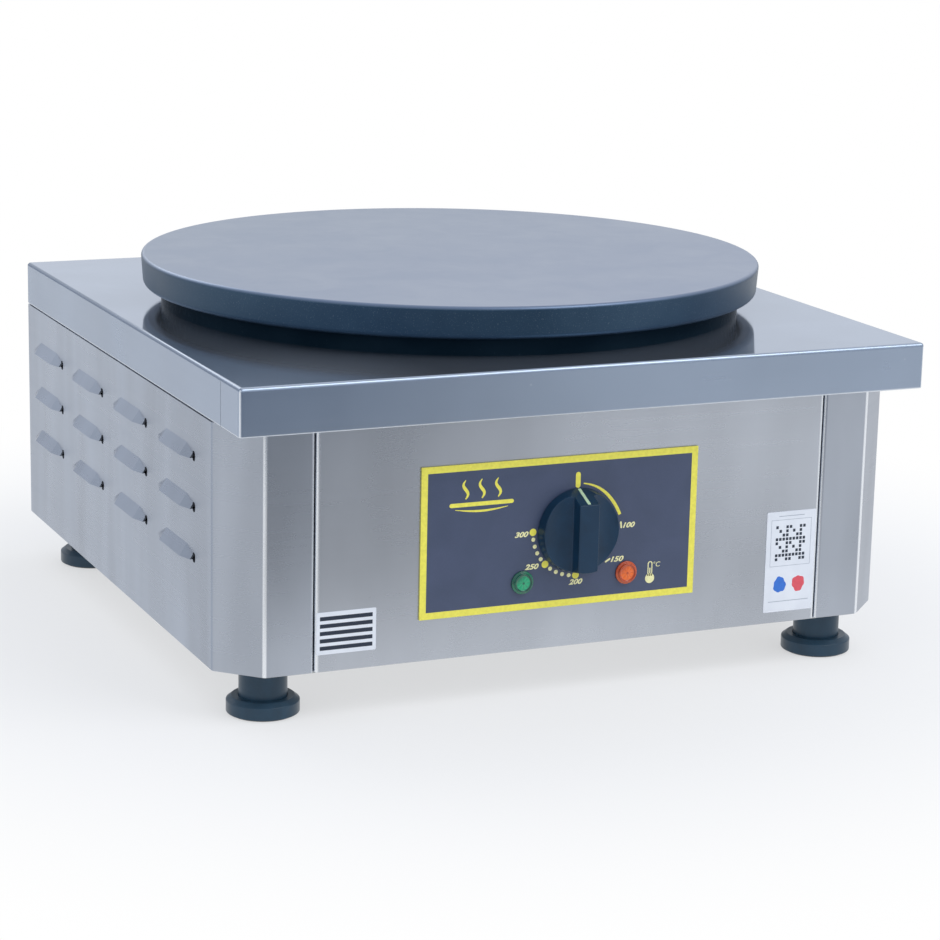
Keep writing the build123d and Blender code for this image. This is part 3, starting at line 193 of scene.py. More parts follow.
def sheet_steel(
    name,
    color,
    roughness,
    clouds,
    cloud_size,
    metal=0.90,
    dust=0.0,
    rough_top=None,
    upright=None,
    slope_shade=None,
    flank_shade=None,
    right_cut_shade=None,
    brim_shade=None,
    haze=None,
    fold_highlights=(),
    hem_highlight=None,
):
    """Brushed stainless sheet: level hairlines, soft clouds, wiping marks, painted shade and painted highlights
    along the outside bends.

    clouds is how far the colour runs either way, and cloud_size the clouds' noise scale. rough_top is
    the roughness of faces that look up.

    Some faces have their colour multiplied, as painted shade: upright is for standing faces, slope_shade
    for pressed slopes, flank_shade for faces to the left and right, right_cut_shade for the cut corner at
    the right, and brim_shade for the bends along the left and right top edges.

    haze is a duller patch on the faces that look up, as (x, y, reach) in metres. fold_highlights holds
    the middle of each outside fold in plan, as (x, y, reach); a painted highlight lies within reach of
    its middle, at x and at -x. hem_highlight is the height of a lower edge with a painted highlight;
    it needs fold_highlights.
    """
    f = Finish(name, color, roughness, metal, Anisotropic=0.35)
    standing = f.upright()
    lying = f.math("SUBTRACT", 1.0, standing)
    level = f.math("MULTIPLY", f.noise((5, 5, 520), 2), standing)
    lengthwise = f.math("MULTIPLY", f.noise((5, 520, 5), 2), lying)
    hairs = f.share(0.30, f.math("ADD", level, lengthwise), f.noise((4, 4, 230), 2))
    wiped = f.noise((26, 22, 9), 2, 0.4)
    shade = f.share(0.75, f.noise(cloud_size, 3, 0.4), wiped)
    tone = f.share(0.90, f.span(shade, 0.36, 0.64, 0, 1), hairs)
    dark = [c * (1 - clouds) for c in color]
    light = [min(1.0, c * (1 + clouds)) for c in color]
    base = f.blend(tone, dark, light)
    if dust:
        specks = f.span(f.noise((420, 420, 420), 1), 0.785, 0.81, 0.0, dust)
        base = f.blend(specks, base, (0.85, 0.87, 0.90))
    # Painted shade: standing faces are coloured darker than faces that look up.
    if upright is not None:
        base = f.times(standing, base, upright)
    # Painted shade: faces to the left and right are coloured darker.
    if flank_shade is not None:
        sideways = f.math("ABSOLUTE", f.facing("X"))
        base = f.times(f.span(sideways, 0.75, 0.92, 0.0, 1.0), base, flank_shade)
    # Painted shade: the cut corner at the right is coloured darker.
    if right_cut_shade is not None:
        turned = f.math("MULTIPLY", f.facing("X"), f.facing("Y"))
        base = f.times(f.span(turned, -0.45, -0.30, 1.0, 0.0), base, right_cut_shade)
    # Painted shade: the bends along the left and right top edges are coloured darker, dimming their highlight.
    if brim_shade is not None:
        bent = f.math("MULTIPLY", f.math("ABSOLUTE", f.facing("X")), f.facing("Z"))
        base = f.times(f.span(bent, 0.12, 0.35, 0.0, 1.0), base, brim_shade)
    # Painted shade: pressed slopes, such as the louvres, are coloured darker.
    if slope_shade is not None:
        slope = f.math("MULTIPLY", standing, f.span(f.facing("Z"), 0.10, 0.30, 0.0, 1.0))
        base = f.times(slope, base, slope_shade)
    worn = f.share(0.5, wiped, hairs)
    rough = f.span(worn, 0.3, 0.7, roughness * 0.88, roughness * 1.14)
    if rough_top is not None:
        smooth = f.span(worn, 0.3, 0.7, rough_top * 0.85, rough_top * 1.2)
        rough = f.math("ADD", f.math("MULTIPLY", rough, standing), f.math("MULTIPLY", smooth, lying))
    if haze is not None:
        away = f.distance(f.at("X"), haze[0], haze[1])
        dull = f.math("MULTIPLY", f.span(away, 0.0, haze[2], 0.22, 0.0), lying)
        f.feed("Metallic", f.math("SUBTRACT", metal, dull))
    # Painted highlight: the outside bends, and the lower edge, are coloured lighter and made a little smoother.
    if fold_highlights:
        beside = f.math("ABSOLUTE", f.at("X"))
        painted_highlight = 0.0
        for x, y, reach in fold_highlights:
            near = f.span(f.distance(beside, x, y), reach * 0.55, reach, 0.8, 0.0)
            painted_highlight = f.math("MAXIMUM", painted_highlight, near)
        if hem_highlight is not None:
            above = f.math("SUBTRACT", f.at("Z"), hem_highlight)
            painted_highlight = f.math("MAXIMUM", painted_highlight, f.span(above, 0.0003, 0.0012, 0.7, 0.0))
        base = f.blend(painted_highlight, base, (0.90, 0.93, 0.97))
        rough = f.math("SUBTRACT", rough, f.math("MULTIPLY", painted_highlight, 0.06))
    f.feed("Base Color", base)
    f.feed("Roughness", rough)
    f.bump(f.noise(tuple(c * 0.6 for c in cloud_size), 1), 0.0005, 0.30)
    return f.material


def plate_iron():
    """Cast iron: a smooth, satin blue-grey face with faint clouds and painted light that grows towards the front
    right, and a darker rim with painted glints.
    """
    f = Finish("plate_iron", (0.050, 0.084, 0.142), 0.34, 0.85, Coat_Weight=0.6, Coat_Roughness=0.30)
    cloud = f.noise((9, 13, 9), 4, 0.6, 0.55)
    seasoned = f.noise((42, 36, 40), 4, 0.8)
    shade = f.share(0.6, cloud, seasoned)
    level = f.span(shade, 0.38, 0.62, 0, 1)
    grains = f.noise((1500, 1500, 1500), 2)
    side = f.span(f.at("Z"), plate_high.z - 2.1 * MM, plate_high.z - 0.1 * MM, 1.0, 0.0)
    # Painted light: the face is coloured lighter towards the front and right.
    forward = f.math("MULTIPLY_ADD", f.at("X"), 0.4, f.math("MULTIPLY", f.at("Y"), -1.0))
    painted_light = f.share(0.76, f.span(forward, -0.17, 0.21, 0.0, 1.0), level)
    face = f.blend(painted_light, (0.136, 0.190, 0.280), (0.184, 0.240, 0.362))
    rim = f.blend(level, (0.026, 0.064, 0.114), (0.037, 0.082, 0.138))
    f.feed("Coat Weight", f.math("MULTIPLY_ADD", side, -0.40, 0.62))
    # Painted glints: fine lighter specks in the rim's colour.
    painted_glints = f.math("MULTIPLY", f.span(grains, 0.62, 0.70, 0.0, 0.16), side)
    f.feed("Base Color", f.blend(painted_glints, f.blend(side, face, rim), (0.36, 0.44, 0.54)))
    rough_side = f.math("MULTIPLY", side, 0.14)
    f.feed("Roughness", f.math("ADD", f.span(shade, 0.38, 0.62, 0.30, 0.38), rough_side))
    pits = f.math("MULTIPLY", grains, f.math("MULTIPLY_ADD", side, 0.92, 0.08))
    waves = f.bump(f.noise((26, 26, 26), 2), 0.0003, 0.25)
    f.bump(pits, 0.00012, 0.55, waves)
    return f.material


def enamel():
    """Black enamel on the dish wall: deep, glossy, with light orange peel and dust."""
    f = Finish("dish_enamel", (0.005, 0.016, 0.028), 0.34, Specular_IOR_Level=0.2, IOR=1.07)
    peel = f.noise((240, 240, 240), 2)
    dust = f.span(f.noise((900, 900, 900), 1), 0.76, 0.80, 0.0, 0.35)
    cloud = f.span(f.noise((24, 24, 30), 3), 0.35, 0.65, 0, 1)
    base = f.blend(cloud, (0.006, 0.016, 0.027), (0.010, 0.023, 0.037))
    f.feed("Base Color", f.blend(dust, base, (0.10, 0.14, 0.19)))
    f.feed("Roughness", f.span(peel, 0.3, 0.7, 0.20, 0.30))
    f.bump(peel, 0.00006, 0.4)
    return f.material


def fascia_print():
    """Screen-printed slate-blue field under a thin satin film."""
    f = Finish("fascia_field", (0.056, 0.076, 0.140), 0.42, Coat_Weight=0.10, Coat_Roughness=0.30)
    mottle = f.noise((38, 38, 44), 4, 0.3)
    weave = f.noise((1300, 1300, 1300), 2)
    tone = f.share(0.75, mottle, weave)
    field = f.blend(f.span(tone, 0.35, 0.65, 0, 1), (0.050, 0.070, 0.128), (0.062, 0.083, 0.152))
    edge = f.span(f.math("ABSOLUTE", f.facing("Y")), 0.4, 0.6, 1.0, 0.0)
    f.feed("Base Color", f.blend(edge, field, (0.62, 0.57, 0.12)))
    f.feed("Roughness", f.span(mottle, 0.3, 0.7, 0.38, 0.47))
    f.bump(weave, 0.00001, 0.5)
    return f.material


def ink(name, color, roughness=0.48):
    """Opaque printed ink with a slightly uneven coat."""
    f = Finish(name, color, roughness)
    lay = f.noise((520, 520, 520), 3)
    f.tint(0.07, f.span(lay, 0.3, 0.7, 0, 1))
    f.feed("Roughness", f.span(lay, 0.3, 0.7, roughness * 0.9, roughness * 1.1))
    f.bump(lay, 0.00001, 0.4)
    return f.material


def moulded(name, color, roughness, grain=1100.0, depth=0.00004, rub=0.16):
    """Moulded black plastic: a fine spark-eroded grain, handling gloss and dust in the grain."""
    f = Finish(name, color, roughness, Specular_IOR_Level=0.38)
    eroded = f.noise((grain, grain, grain), 2)
    handled = f.noise((75, 75, 60), 3, 0.5)
    dust = f.span(f.noise((700, 700, 700), 2), 0.66, 0.80, 0.0, 0.06)
    base = f.blend(
        f.span(handled, 0.3, 0.7, 0, 1),
        [c * (1 - rub) for c in color],
        [c * (1 + rub) for c in color],
    )
    f.feed("Base Color", f.blend(dust, base, (0.16, 0.19, 0.23)))
    f.feed("Roughness", f.span(handled, 0.3, 0.7, roughness * 0.86, roughness * 1.14))
    f.bump(eroded, depth, 0.5)
    return f.material


def label_film():
    """White label stock: faint fibres and a soft satin varnish."""
    f = Finish("label_film", (0.82, 0.85, 0.90), 0.40, Coat_Weight=0.15, Coat_Roughness=0.25)
    fibre = f.noise((900, 900, 500), 3)
    cloud = f.noise((70, 70, 70), 2)
    f.feed("Base Color", f.blend(f.span(cloud, 0.3, 0.7, 0, 1), (0.79, 0.82, 0.88), (0.85, 0.88, 0.93)))
    f.feed("Roughness", f.span(fibre, 0.3, 0.7, 0.36, 0.45))
    f.bump(fibre, 0.00001, 0.3)
    return f.material


def lens(name, deep, bright):
    """Tinted lens: a bright core with a star of ribs, and painted shade as a dark outline and a darker upper left.
    """
    f = Finish(name, bright, 0.12, Coat_Weight=0.5, Coat_Roughness=0.04, Specular_IOR_Level=0.5)
    across, up = f.at("X"), f.at("Z")
    turn = f.math("ARCTAN2", across, up)
    ribs = f.math("COSINE", f.math("MULTIPLY", turn, 8.0))
    reach = f.math("SQRT", f.math("ADD", f.math("POWER", across, 2.0), f.math("POWER", up, 2.0)))
    inside = f.span(reach, 0.0034, 0.0042, 1.0, 0.0)
    star = f.math("MULTIPLY", f.span(ribs, 0.55, 1.0, 0.0, 0.35), inside)
    core = f.span(reach, 0.0004, 0.0011, 0.8, 0.0)
    # Painted shade: a dark outline from the dish's edge outwards, a little lighter over the flange.
    outside = f.span(reach, 0.0054, 0.0058, 0.0, 0.25)
    outline = f.math("SUBTRACT", f.span(reach, 0.0040, 0.0048, 0.0, 0.85), outside)
    # Painted shade: darker towards the upper left.
    shaded = f.span(f.math("SUBTRACT", up, across), 0.0010, 0.0068, 0.0, 0.8)
    uneven = f.math("MULTIPLY", f.noise((620, 620, 620), 3, 0.8), 0.18)
    dark = f.math("MAXIMUM", f.math("MAXIMUM", star, core), f.math("MAXIMUM", outline, shaded))
    f.feed("Base Color", f.blend(f.math("ADD", dark, uneven, clamp=True), bright, deep))
    f.bump(f.noise((800, 800, 800), 1), 0.00003, 0.3)
    return f.material


tray_low, tray_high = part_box("top_tray")
panel_low, panel_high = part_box("front_panel")
half_case = tray_high.x
joint_x, face_y = panel_high.x, panel_low.y
# The panel steel has a painted highlight along the bends at its joints.
panel_finish = sheet_steel(
    "panel_steel", (0.462, 0.494, 0.548), 0.28, 0.10, (11, 17, 3.2), fold_highlights=((joint_x, face_y, 0.0026),)
)
# The side steel has painted shade on the louvre slopes, on faces to the left and right and on the cut corner at
# the right, and painted highlights along its front bends.
side_finish = sheet_steel(
    "side_steel",
    (0.415, 0.452, 0.515),
    0.28,
    0.14,
    (16, 21, 3.0),
    slope_shade=(0.80, 0.81, 0.83),
    flank_shade=(0.77, 0.81, 0.87),
    right_cut_shade=(0.82, 0.84, 0.87),
    fold_highlights=((half_case - CORNER_CUT, face_y, 0.0016), (joint_x + 0.0006, face_y, 0.0015)),
)
# The tray steel has painted shade on its standing faces, its left and right faces and its top bends, and a painted
# highlight on its front corners and lower edge.
tray_finish = sheet_steel(
    "tray_steel",
    (0.375, 0.430, 0.520),
    0.25,
    0.07,
    (8, 8, 6),
    metal=0.85,
    dust=0.6,
    rough_top=0.065,
    upright=(0.84, 0.88, 0.92),
    flank_shade=(0.93, 0.94, 0.96),
    brim_shade=(0.52, 0.55, 0.59),
    haze=(tray_low.x + 0.02, tray_low.y, 0.11),
    fold_highlights=((tray_high.x, tray_low.y, 0.0015),),
    hem_highlight=tray_low.z,
)
yellow_ink = ink("yellow_ink", (0.92, 0.84, 0.11))
pale_ink = ink("pale_ink", (0.92, 0.88, 0.46))
pointer_ink = ink("pointer_ink", (0.55, 0.74, 0.50), 0.4)
slate_ink = ink("slate_ink", (0.012, 0.022, 0.045))
grey_ink = ink("grey_ink", (0.42, 0.46, 0.52))
blue_ink = ink("blue_ink", (0.035, 0.18, 0.66))
red_ink = ink("red_ink", (0.78, 0.10, 0.13))
# Each lens's first colour is its deep tone, for the ribs, the centre and the painted shade.
green_glass = lens("green_glass", (0.001, 0.050, 0.042), (0.004, 0.44, 0.19))
orange_glass = lens("orange_glass", (0.42, 0.045, 0.008), (0.95, 0.17, 0.012))

slot_finishes = {
    "griddle_plate": plate_iron(),
    "support_ring": enamel(),
    "insulation_disc": small_part("mineral_board", (0.66, 0.63, 0.56), 0.9, grain=500, depth=0.0002),
    "heating_element": small_part("element_sheath", (0.10, 0.085, 0.075), 0.45, 0.8, vary=0.35),
    "clamp_steel": small_part("clamp_steel", (0.40, 0.40, 0.41), 0.42, 1.0),
    "zinc_steel": small_part("zinc_plate", (0.58, 0.60, 0.60), 0.33, 1.0, grain=1500),
    "stainless": panel_finish,
    "base_steel": small_part("galvanised", (0.46, 0.48, 0.50), 0.42, 1.0, grain=160, vary=0.18),
    "foot_plastic": moulded("foot_plastic", (0.016, 0.049, 0.084), 0.36),
    "foot_rubber": moulded("foot_rubber", (0.012, 0.014, 0.018), 0.80, 800.0, 0.00008),
    "fascia_print": fascia_print(),
    "label_print": label_film(),
    "green_lens": green_glass,
    "orange_lens": orange_glass,
    "lamp_plastic": small_part("lamp_plastic", (0.62, 0.60, 0.54), 0.45),
    "control_ceramic": small_part("control_body", (0.60, 0.55, 0.46), 0.6),
    "knob_plastic": moulded("knob_plastic", (0.005, 0.033, 0.074), 0.32, 1400.0, 0.00003),
    "brass": small_part("brass", (0.72, 0.52, 0.22), 0.32, 1.0),
    "copper": small_part("copper", (0.74, 0.42, 0.26), 0.32, 1.0),
    "gland_plastic": moulded("gland_plastic", (0.030, 0.031, 0.034), 0.45),
    "block_plastic": small_part("block_plastic", (0.72, 0.70, 0.62), 0.5),
    "live_insulation": small_part("live_insulation", (0.17, 0.075, 0.04), 0.5),
    "neutral_insulation": small_part("neutral_insulation", (0.03, 0.10, 0.36), 0.5),
    "earth_insulation": small_part("earth_insulation", (0.24, 0.38, 0.04), 0.5),
    "lamp_insulation": small_part("lamp_insulation", (0.38, 0.38, 0.36), 0.5),
}
node_finishes = {
    "top_tray": tray_finish,
    "left_side_panel": side_finish,
    "right_side_panel": side_finish,
}

for subpart in frame["record"]["subparts"]:
    node = frame["nodes"][subpart["node"]]
    finish = node_finishes.get(subpart["node"], slot_finishes[subpart["material_slot"]])
    for slot in node.material_slots:
        slot.link = "OBJECT"
        slot.material = finish


# ------------------------------------------------------------------ meshes
def add_mesh(name, vertices, faces, material):
    """A new mesh object, with its vertices in metres."""
    mesh = bpy.data.meshes.new(name)
    mesh.from_pydata(vertices, [], faces)
    mesh.materials.append(material)
    piece = bpy.data.objects.new(name, mesh)
    bpy.context.scene.collection.objects.link(piece)
    return piece


def strips(rings, count):
    """The faces between consecutive rings of count points each."""
    faces = []
    for ring in range(rings - 1):
        a, b = ring * count, (ring + 1) * count
        for i in range(count):
            j = (i + 1) % count
            faces.append((a + i, a + j, b + j, b + i))
    return faces


# ------------------------------------------------------------------ cooking plate
def rounded(outline, support=0.4, steps=8):
    """Points of an outline of (radius, height, rounding), in mm, with its corners rounded.

    A further point lies at the distance support before and after each rounding, so that the flats
    beside it stay flat when they are shaded smooth.
    """
    points = []
    for i, (x, z, radius) in enumerate(outline):
        corner = Vector((x, z))
        if radius == 0:
            points.append(corner)
            continue
        back = (Vector(outline[i - 1][:2]) - corner).normalized()
        ahead = (Vector(outline[i + 1][:2]) - corner).normalized()
        half = back.angle(ahead) / 2
        run = radius / tan(half)
        centre = corner + (back + ahead).normalized() * radius / sin(half)
        start, end = corner + back * run, corner + ahead * run
        points.append(start + back * support)
        for step in range(steps + 1):
            arm = start.lerp(end, step / steps) - centre
            points.append(centre + arm.normalized() * radius)
        points.append(end + ahead * support)
    return points


def cooking_plate():
    """The plate turned from its section, with a drawn-in rim and rounded edges."""
    axis = (plate_low + plate_high) / 2 / MM
    top, foot = plate_high.z / MM, plate_low.z / MM
    foot_r = PLATE_R - RIM_DRAFT
    section = rounded(
        [
            (PLATE_R - FACE_BAND, top, 0),
            (PLATE_R, top, EDGE_R),
            (foot_r, foot, FOOT_R),
            (foot_r - RIM_WALL, foot, FOOT_R),
            (foot_r - RIM_WALL, top - PLATE_T, 0),
        ]
    )
    count = 288
    turns = [2 * pi * i / count for i in range(count)]
    vertices = [
        ((axis.x + radius * cos(turn)) * MM, (axis.y + radius * sin(turn)) * MM, z * MM)
        for radius, z in section
        for turn in turns
    ]
    last = len(vertices) - 1
    faces = [tuple(range(count)), tuple(range(last, last - count, -1))]
    faces += [(b, a, d, c) for a, b, c, d in strips(len(section), count)]
    piece = add_mesh("cooking_plate", vertices, faces, slot_finishes["griddle_plate"])
    piece.data.polygons.foreach_set("use_smooth", [False, False] + [True] * (len(faces) - 2))
    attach(piece, "case")
    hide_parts("griddle_plate")


cooking_plate()


# ------------------------------------------------------------------ flat printed shapes
fascia_low, fascia_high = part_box("control_fascia")
knob_axis = next(joint for joint in frame["joints"] if joint["name"] == "knob_turn")["pos_m"]
dial_x, dial_z = knob_axis[0] / MM, knob_axis[2] / MM
print_z = dial_z + 0.9  # the printed scale is centred a little above the shaft
y_fascia = fascia_low.y / MM


def slabs(name, outlines, y_front, material, body, rise=0.06, sink=0.03):
    """Thin printed shapes proud of the face at y_front, from closed outlines of x and z in mm."""
    vertices = []
    faces = []
    for outline in outlines:
        start = len(vertices)
        count = len(outline)
        vertices += [(x * MM, (y_front - rise) * MM, z * MM) for x, z in outline]
        vertices += [(x * MM, (y_front + sink) * MM, z * MM) for x, z in outline]
        faces.append(tuple(range(start, start + count)))
        faces.append(tuple(range(start + 2 * count - 1, start + count - 1, -1)))
        for i in range(count):
            j = (i + 1) % count
            faces.append((start + j, start + i, start + count + i, start + count + j))
    piece = add_mesh(name, vertices, faces, material)
    piece.data.validate()
    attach(piece, body)


def rectangle(x0, z0, x1, z1):
    return [(x0, z0), (x1, z0), (x1, z1), (x0, z1)]


def dot(x, z, radius, sides=28):
    turns = [2 * pi * i / sides for i in range(sides)]
    return [(x + radius * cos(turn), z + radius * sin(turn)) for turn in turns]


def bar(x0, z0, x1, z1, width, steps=8):
    """A straight bar with rounded ends."""
    turn = atan2(z1 - z0, x1 - x0)
    points = []
    for x, z, first in ((x1, z1, turn - pi / 2), (x0, z0, turn + pi / 2)):
        points += [
            (x + width / 2 * cos(first + pi * i / steps), z + width / 2 * sin(first + pi * i / steps))
            for i in range(steps + 1)
        ]
    return points


def ribbon(points, widths):
    """A band along points, with its own width at each of them."""
    left, right = [], []
    for i, (x, z) in enumerate(points):
        ahead = points[min(i + 1, len(points) - 1)]
        behind = points[max(i - 1, 0)]
        dx, dz = ahead[0] - behind[0], ahead[1] - behind[1]
        length = sqrt(dx * dx + dz * dz)
        nx, nz = -dz / length * widths[i] / 2, dx / length * widths[i] / 2
        left.append((x + nx, z + nz))
        right.append((x - nx, z - nz))
    return right + left[::-1]


def on_dial(angle, radius):
    """A point of the printed dial, with the angle clockwise from twelve o'clock."""
    return dial_x + radius * sin(radians(angle)), print_z + radius * cos(radians(angle))


def fascia_piece(name, outlines, material):
    slabs(name, outlines, y_fascia, material, "case")


border = 4.1
border_in = 0.05  # from the plate's edge
x0, z0 = fascia_low.x / MM + border_in, fascia_low.z / MM + border_in
x1, z1 = fascia_high.x / MM - border_in, fascia_high.z / MM - border_in
fascia_piece(
    "fascia_border",
    [
        [(x0, z0), (x1, z0), (x1 - border, z0 + border), (x0 + border, z0 + border)],
        [(x1, z0), (x1, z1), (x1 - border, z1 - border), (x1 - border, z0 + border)],
        [(x1, z1), (x0, z1), (x0 + border, z1 - border), (x1 - border, z1 - border)],
        [(x0, z1), (x0, z0), (x0 + border, z0 + border), (x0 + border, z1 - border)],
    ],
    yellow_ink,
)

mark_r = 29.0  # radius of the ring of marks on the dial
arc_steps = 24
arc_angles = [7.5 + 70.0 * i / arc_steps for i in range(arc_steps + 1)]
arc_line = [on_dial(angle, 27.7 + 1.5 * max(0.0, (angle - 45) / 32.5) ** 2) for angle in arc_angles]
arc_widths = [0.7 + 1.35 * sin(radians(115 * i / arc_steps)) for i in range(arc_steps + 1)]
scale_marks = [dot(*on_dial(angle, mark_r), 2.25) for angle in (270, 225, 180)]
scale_marks.append(bar(dial_x - 0.1, print_z + 26.6, dial_x - 0.1, print_z + 33.2, 3.2))
scale_marks.append(ribbon(arc_line, arc_widths))
fascia_piece("dial_scale", scale_marks, yellow_ink)
fascia_piece(
    "dial_ticks",
    [bar(*on_dial(87.5, 29.4), *on_dial(93.5, 29.8), 1.2), bar(19.3, 81.2, 21.9, 82.7, 1.1)]
    + [dot(*on_dial(angle, mark_r), 1.3, 18) for angle in (261, 252, 243, 234, 216, 207, 198, 189)],
    pale_ink,
)


def letter_mesh(text, x, z, height, width, shear, bold):
    """One word as a thin solid on the fascia: its vertices and faces, centred on x and z in mm."""
    curve = bpy.data.curves.new(text, "FONT")
    curve.body = text
    curve.size = 1.0
    curve.shear = shear
    curve.offset = bold
    curve.align_x = "CENTER"
    curve.align_y = "CENTER"
    curve.extrude = 0.5
    curve.resolution_u = 6
    shape = bpy.data.objects.new(text, curve)
    bpy.context.scene.collection.objects.link(shape)
    bpy.context.view_layer.update()
    mesh = bpy.data.meshes.new_from_object(shape.evaluated_get(bpy.context.evaluated_depsgraph_get()))
    bpy.data.objects.remove(shape)
    xs = [v.co.x for v in mesh.vertices]
    ys = [v.co.y for v in mesh.vertices]
    middle_x, middle_y = (max(xs) + min(xs)) / 2, (max(ys) + min(ys)) / 2
    across = width / (max(xs) - min(xs))
    up = height / (max(ys) - min(ys))
    vertices = [
        (
            (x + (v.co.x - middle_x) * across) * MM,
            (y_fascia - 0.015 - v.co.z * 0.09) * MM,
            (z + (v.co.y - middle_y) * up) * MM,
        )
        for v in mesh.vertices
    ]
    return vertices, [tuple(polygon.vertices) for polygon in mesh.polygons]


def lettering(name, words, material, shear=0.32, bold=0.035):
    """Generic numerals and signs as one thin mesh; words holds (text, x, z, height, width) in mm."""
    vertices, faces = [], []
    for word in words:
        start = len(vertices)
        word_vertices, word_faces = letter_mesh(*word, shear, bold)
        vertices += word_vertices
        faces += [tuple(start + i for i in face) for face in word_faces]
    piece = add_mesh(name, vertices, faces, material)
    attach(piece, "case")


lettering(
    "dial_numbers",
    [
        ("300", -37.1, 102.9, 3.4, 9.0),
        ("250", -29.9, 82.5, 3.4, 9.2),
        ("200", -0.5, 70.6, 3.4, 9.2),
        ("150", 27.0, 82.3, 3.4, 8.8),
        ("100", 34.2, 103.0, 3.4, 8.2),
    ],
    pale_ink,
)
lettering("degree_mark", [("°C", 54.2, 76.6, 3.2, 4.6)], pale_ink, 0.15, 0.0)

stem_x, stem_r, stem_low, stem_high = 49.6, 1.3, 69.5, 77.2
stem_turns = [pi * i / 10 for i in range(11)]
stem_cap = [(stem_x - stem_r * cos(turn), stem_high + stem_r * sin(turn)) for turn in stem_turns]
stem = [(stem_x - stem_r, stem_low), *stem_cap, (stem_x + stem_r, stem_low)]
fascia_piece(
    "thermometer_sign",
    [
        ribbon(stem, [0.62] * len(stem)),
        dot(stem_x, 68.1, 3.1),
        rectangle(stem_x - 0.35, stem_low, stem_x + 0.35, 74.6),
    ],
    pale_ink,
)


def heat_wave(x, z, height):
    points = [(x + 1.5 * sin(2 * pi * i / 20), z + height * i / 20) for i in range(21)]
    return ribbon(points, [0.5 + 1.5 * sin(pi * min(1.0, (i + 1) / 21)) for i in range(21)])


pan_line = [(-80.5 + 34.0 * i / 20, 121.4 - 1.6 * sin(pi * i / 20)) for i in range(21)]
pan_widths = [0.3 + 1.0 * sin(pi * i / 20) for i in range(21)]
fascia_piece(
    "heat_sign",
    [heat_wave(x, 127.6, 11.5) for x in (-74.0, -63.5, -53.0)]
    + [bar(-83.0, 124.2, -44.0, 124.2, 2.5), ribbon(pan_line, pan_widths)],
    yellow_ink,
)


# ------------------------------------------------------------------ labels
def label_piece(name, node, outlines, material):
    """Printing on a label; the outlines run from 0 to 1 over its width and height."""
    low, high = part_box(node)
    wide, tall = (high.x - low.x) / MM, (high.z - low.z) / MM
    left, foot = low.x / MM, low.z / MM
    placed = [[(left + u * wide, foot + v * tall) for u, v in outline] for outline in outlines]
    slabs(name, placed, low.y / MM, material, "case", 0.03, 0.02)


stripes = [rectangle(0.06, v, 0.94, v + 0.095) for v in (0.10, 0.275, 0.45, 0.625, 0.80)]
label_piece("left_label_stripes", "left_label", stripes, slate_ink)

squares = []
grid = 9
for row in range(grid):
    for column in range(grid):
        at_corner = row in (0, grid - 1) and column in (0, grid - 1)
        if at_corner or (row * 5 + column * 3 + row * column) % 4 < 2:
            u, v = 0.19 + column * 0.069, 0.51 + row * 0.0400
            squares.append(rectangle(u, v, u + 0.050, v + 0.0285))
label_piece("right_label_pattern", "right_label", squares, slate_ink)
label_piece(
    "right_label_lines",
    "right_label",
    [
        rectangle(0.09, 0.455, 0.91, 0.459),
        rectangle(0.09, 0.915, 0.91, 0.919),
        rectangle(0.09, 0.455, 0.097, 0.919),
        rectangle(0.903, 0.455, 0.91, 0.919),
        rectangle(0.24, 0.950, 0.76, 0.957),
        rectangle(0.09, 0.100, 0.91, 0.107),
    ],
    grey_ink,
)


def paint_dab(u, v):
    """A round dab of paint with an uneven edge."""
    turns = [2 * pi * i / 40 for i in range(40)]
    reach = [1 + 0.07 * sin(3 * turn + 9 * u) + 0.05 * sin(7 * turn + 4 * u) for turn in turns]
    return [(u + 0.125 * r * cos(turn), v + 0.078 * r * sin(turn)) for turn, r in zip(turns, reach)]


label_piece("right_label_blue_dab", "right_label", [paint_dab(0.31, 0.27)], blue_ink)
label_piece("right_label_red_dab", "right_label", [paint_dab(0.69, 0.27)], red_ink)


# ------------------------------------------------------------------ pilot lamps
# Both in mm from the fascia's face: (radius, rise) of the lens's round section, from its back to the
# rim's inside, and (radius, rise, depth) of the face's circles, whose ribs fall by depth.
lamp_section = [
    (5.5, -2.0),
    (5.5, 0.02),
    (7.1, 0.02),
    (7.1, 0.85),
    (6.95, 1.2),
    (6.6, 1.4),
    (6.15, 1.42),
    (5.85, 1.5),
    (5.8, 2.45),
    (5.65, 2.85),
    (5.3, 3.0),
    (5.0, 2.9),
    (4.85, 2.55),
    (4.75, 2.2),
]
lamp_ribs = [(3.6, 2.35, 0.18), (2.2, 2.5, 0.26), (1.0, 2.6, 0.2)]


def lamp_lens(name, node, material):
    """A ringed lens with a star of ribs inside, in the place of the plain CAD lens."""
    low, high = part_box(node)
    count = 64
    turns = [2 * pi * i / count for i in range(count)]
    rings = [[(radius, rise)] * count for radius, rise in lamp_section]
    for radius, rise, depth in lamp_ribs:
        rings.append([(radius, rise - depth * abs(cos(4 * turn))) for turn in turns])
    vertices = [
        (radius * sin(turn) * MM, -rise * MM, radius * cos(turn) * MM)
        for ring in rings
        for turn, (radius, rise) in zip(turns, ring)
    ]
    last = len(vertices) - count
    tip, back = len(vertices), len(vertices) + 1
    vertices += [(0.0, -2.7 * MM, 0.0), (0.0, 2.0 * MM, 0.0)]
    faces = strips(len(rings), count)
    for i in range(count):
        j = (i + 1) % count
        faces.append((last + i, last + j, tip))
        faces.append((j, i, back))
    piece = add_mesh(name, vertices, faces, material)
    piece.data.polygons.foreach_set("use_smooth", [True] * len(faces))
    piece.location = Vector(((low.x + high.x) / 2, fascia_low.y, (low.z + high.z) / 2))
    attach(piece, "case")
    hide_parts(node)


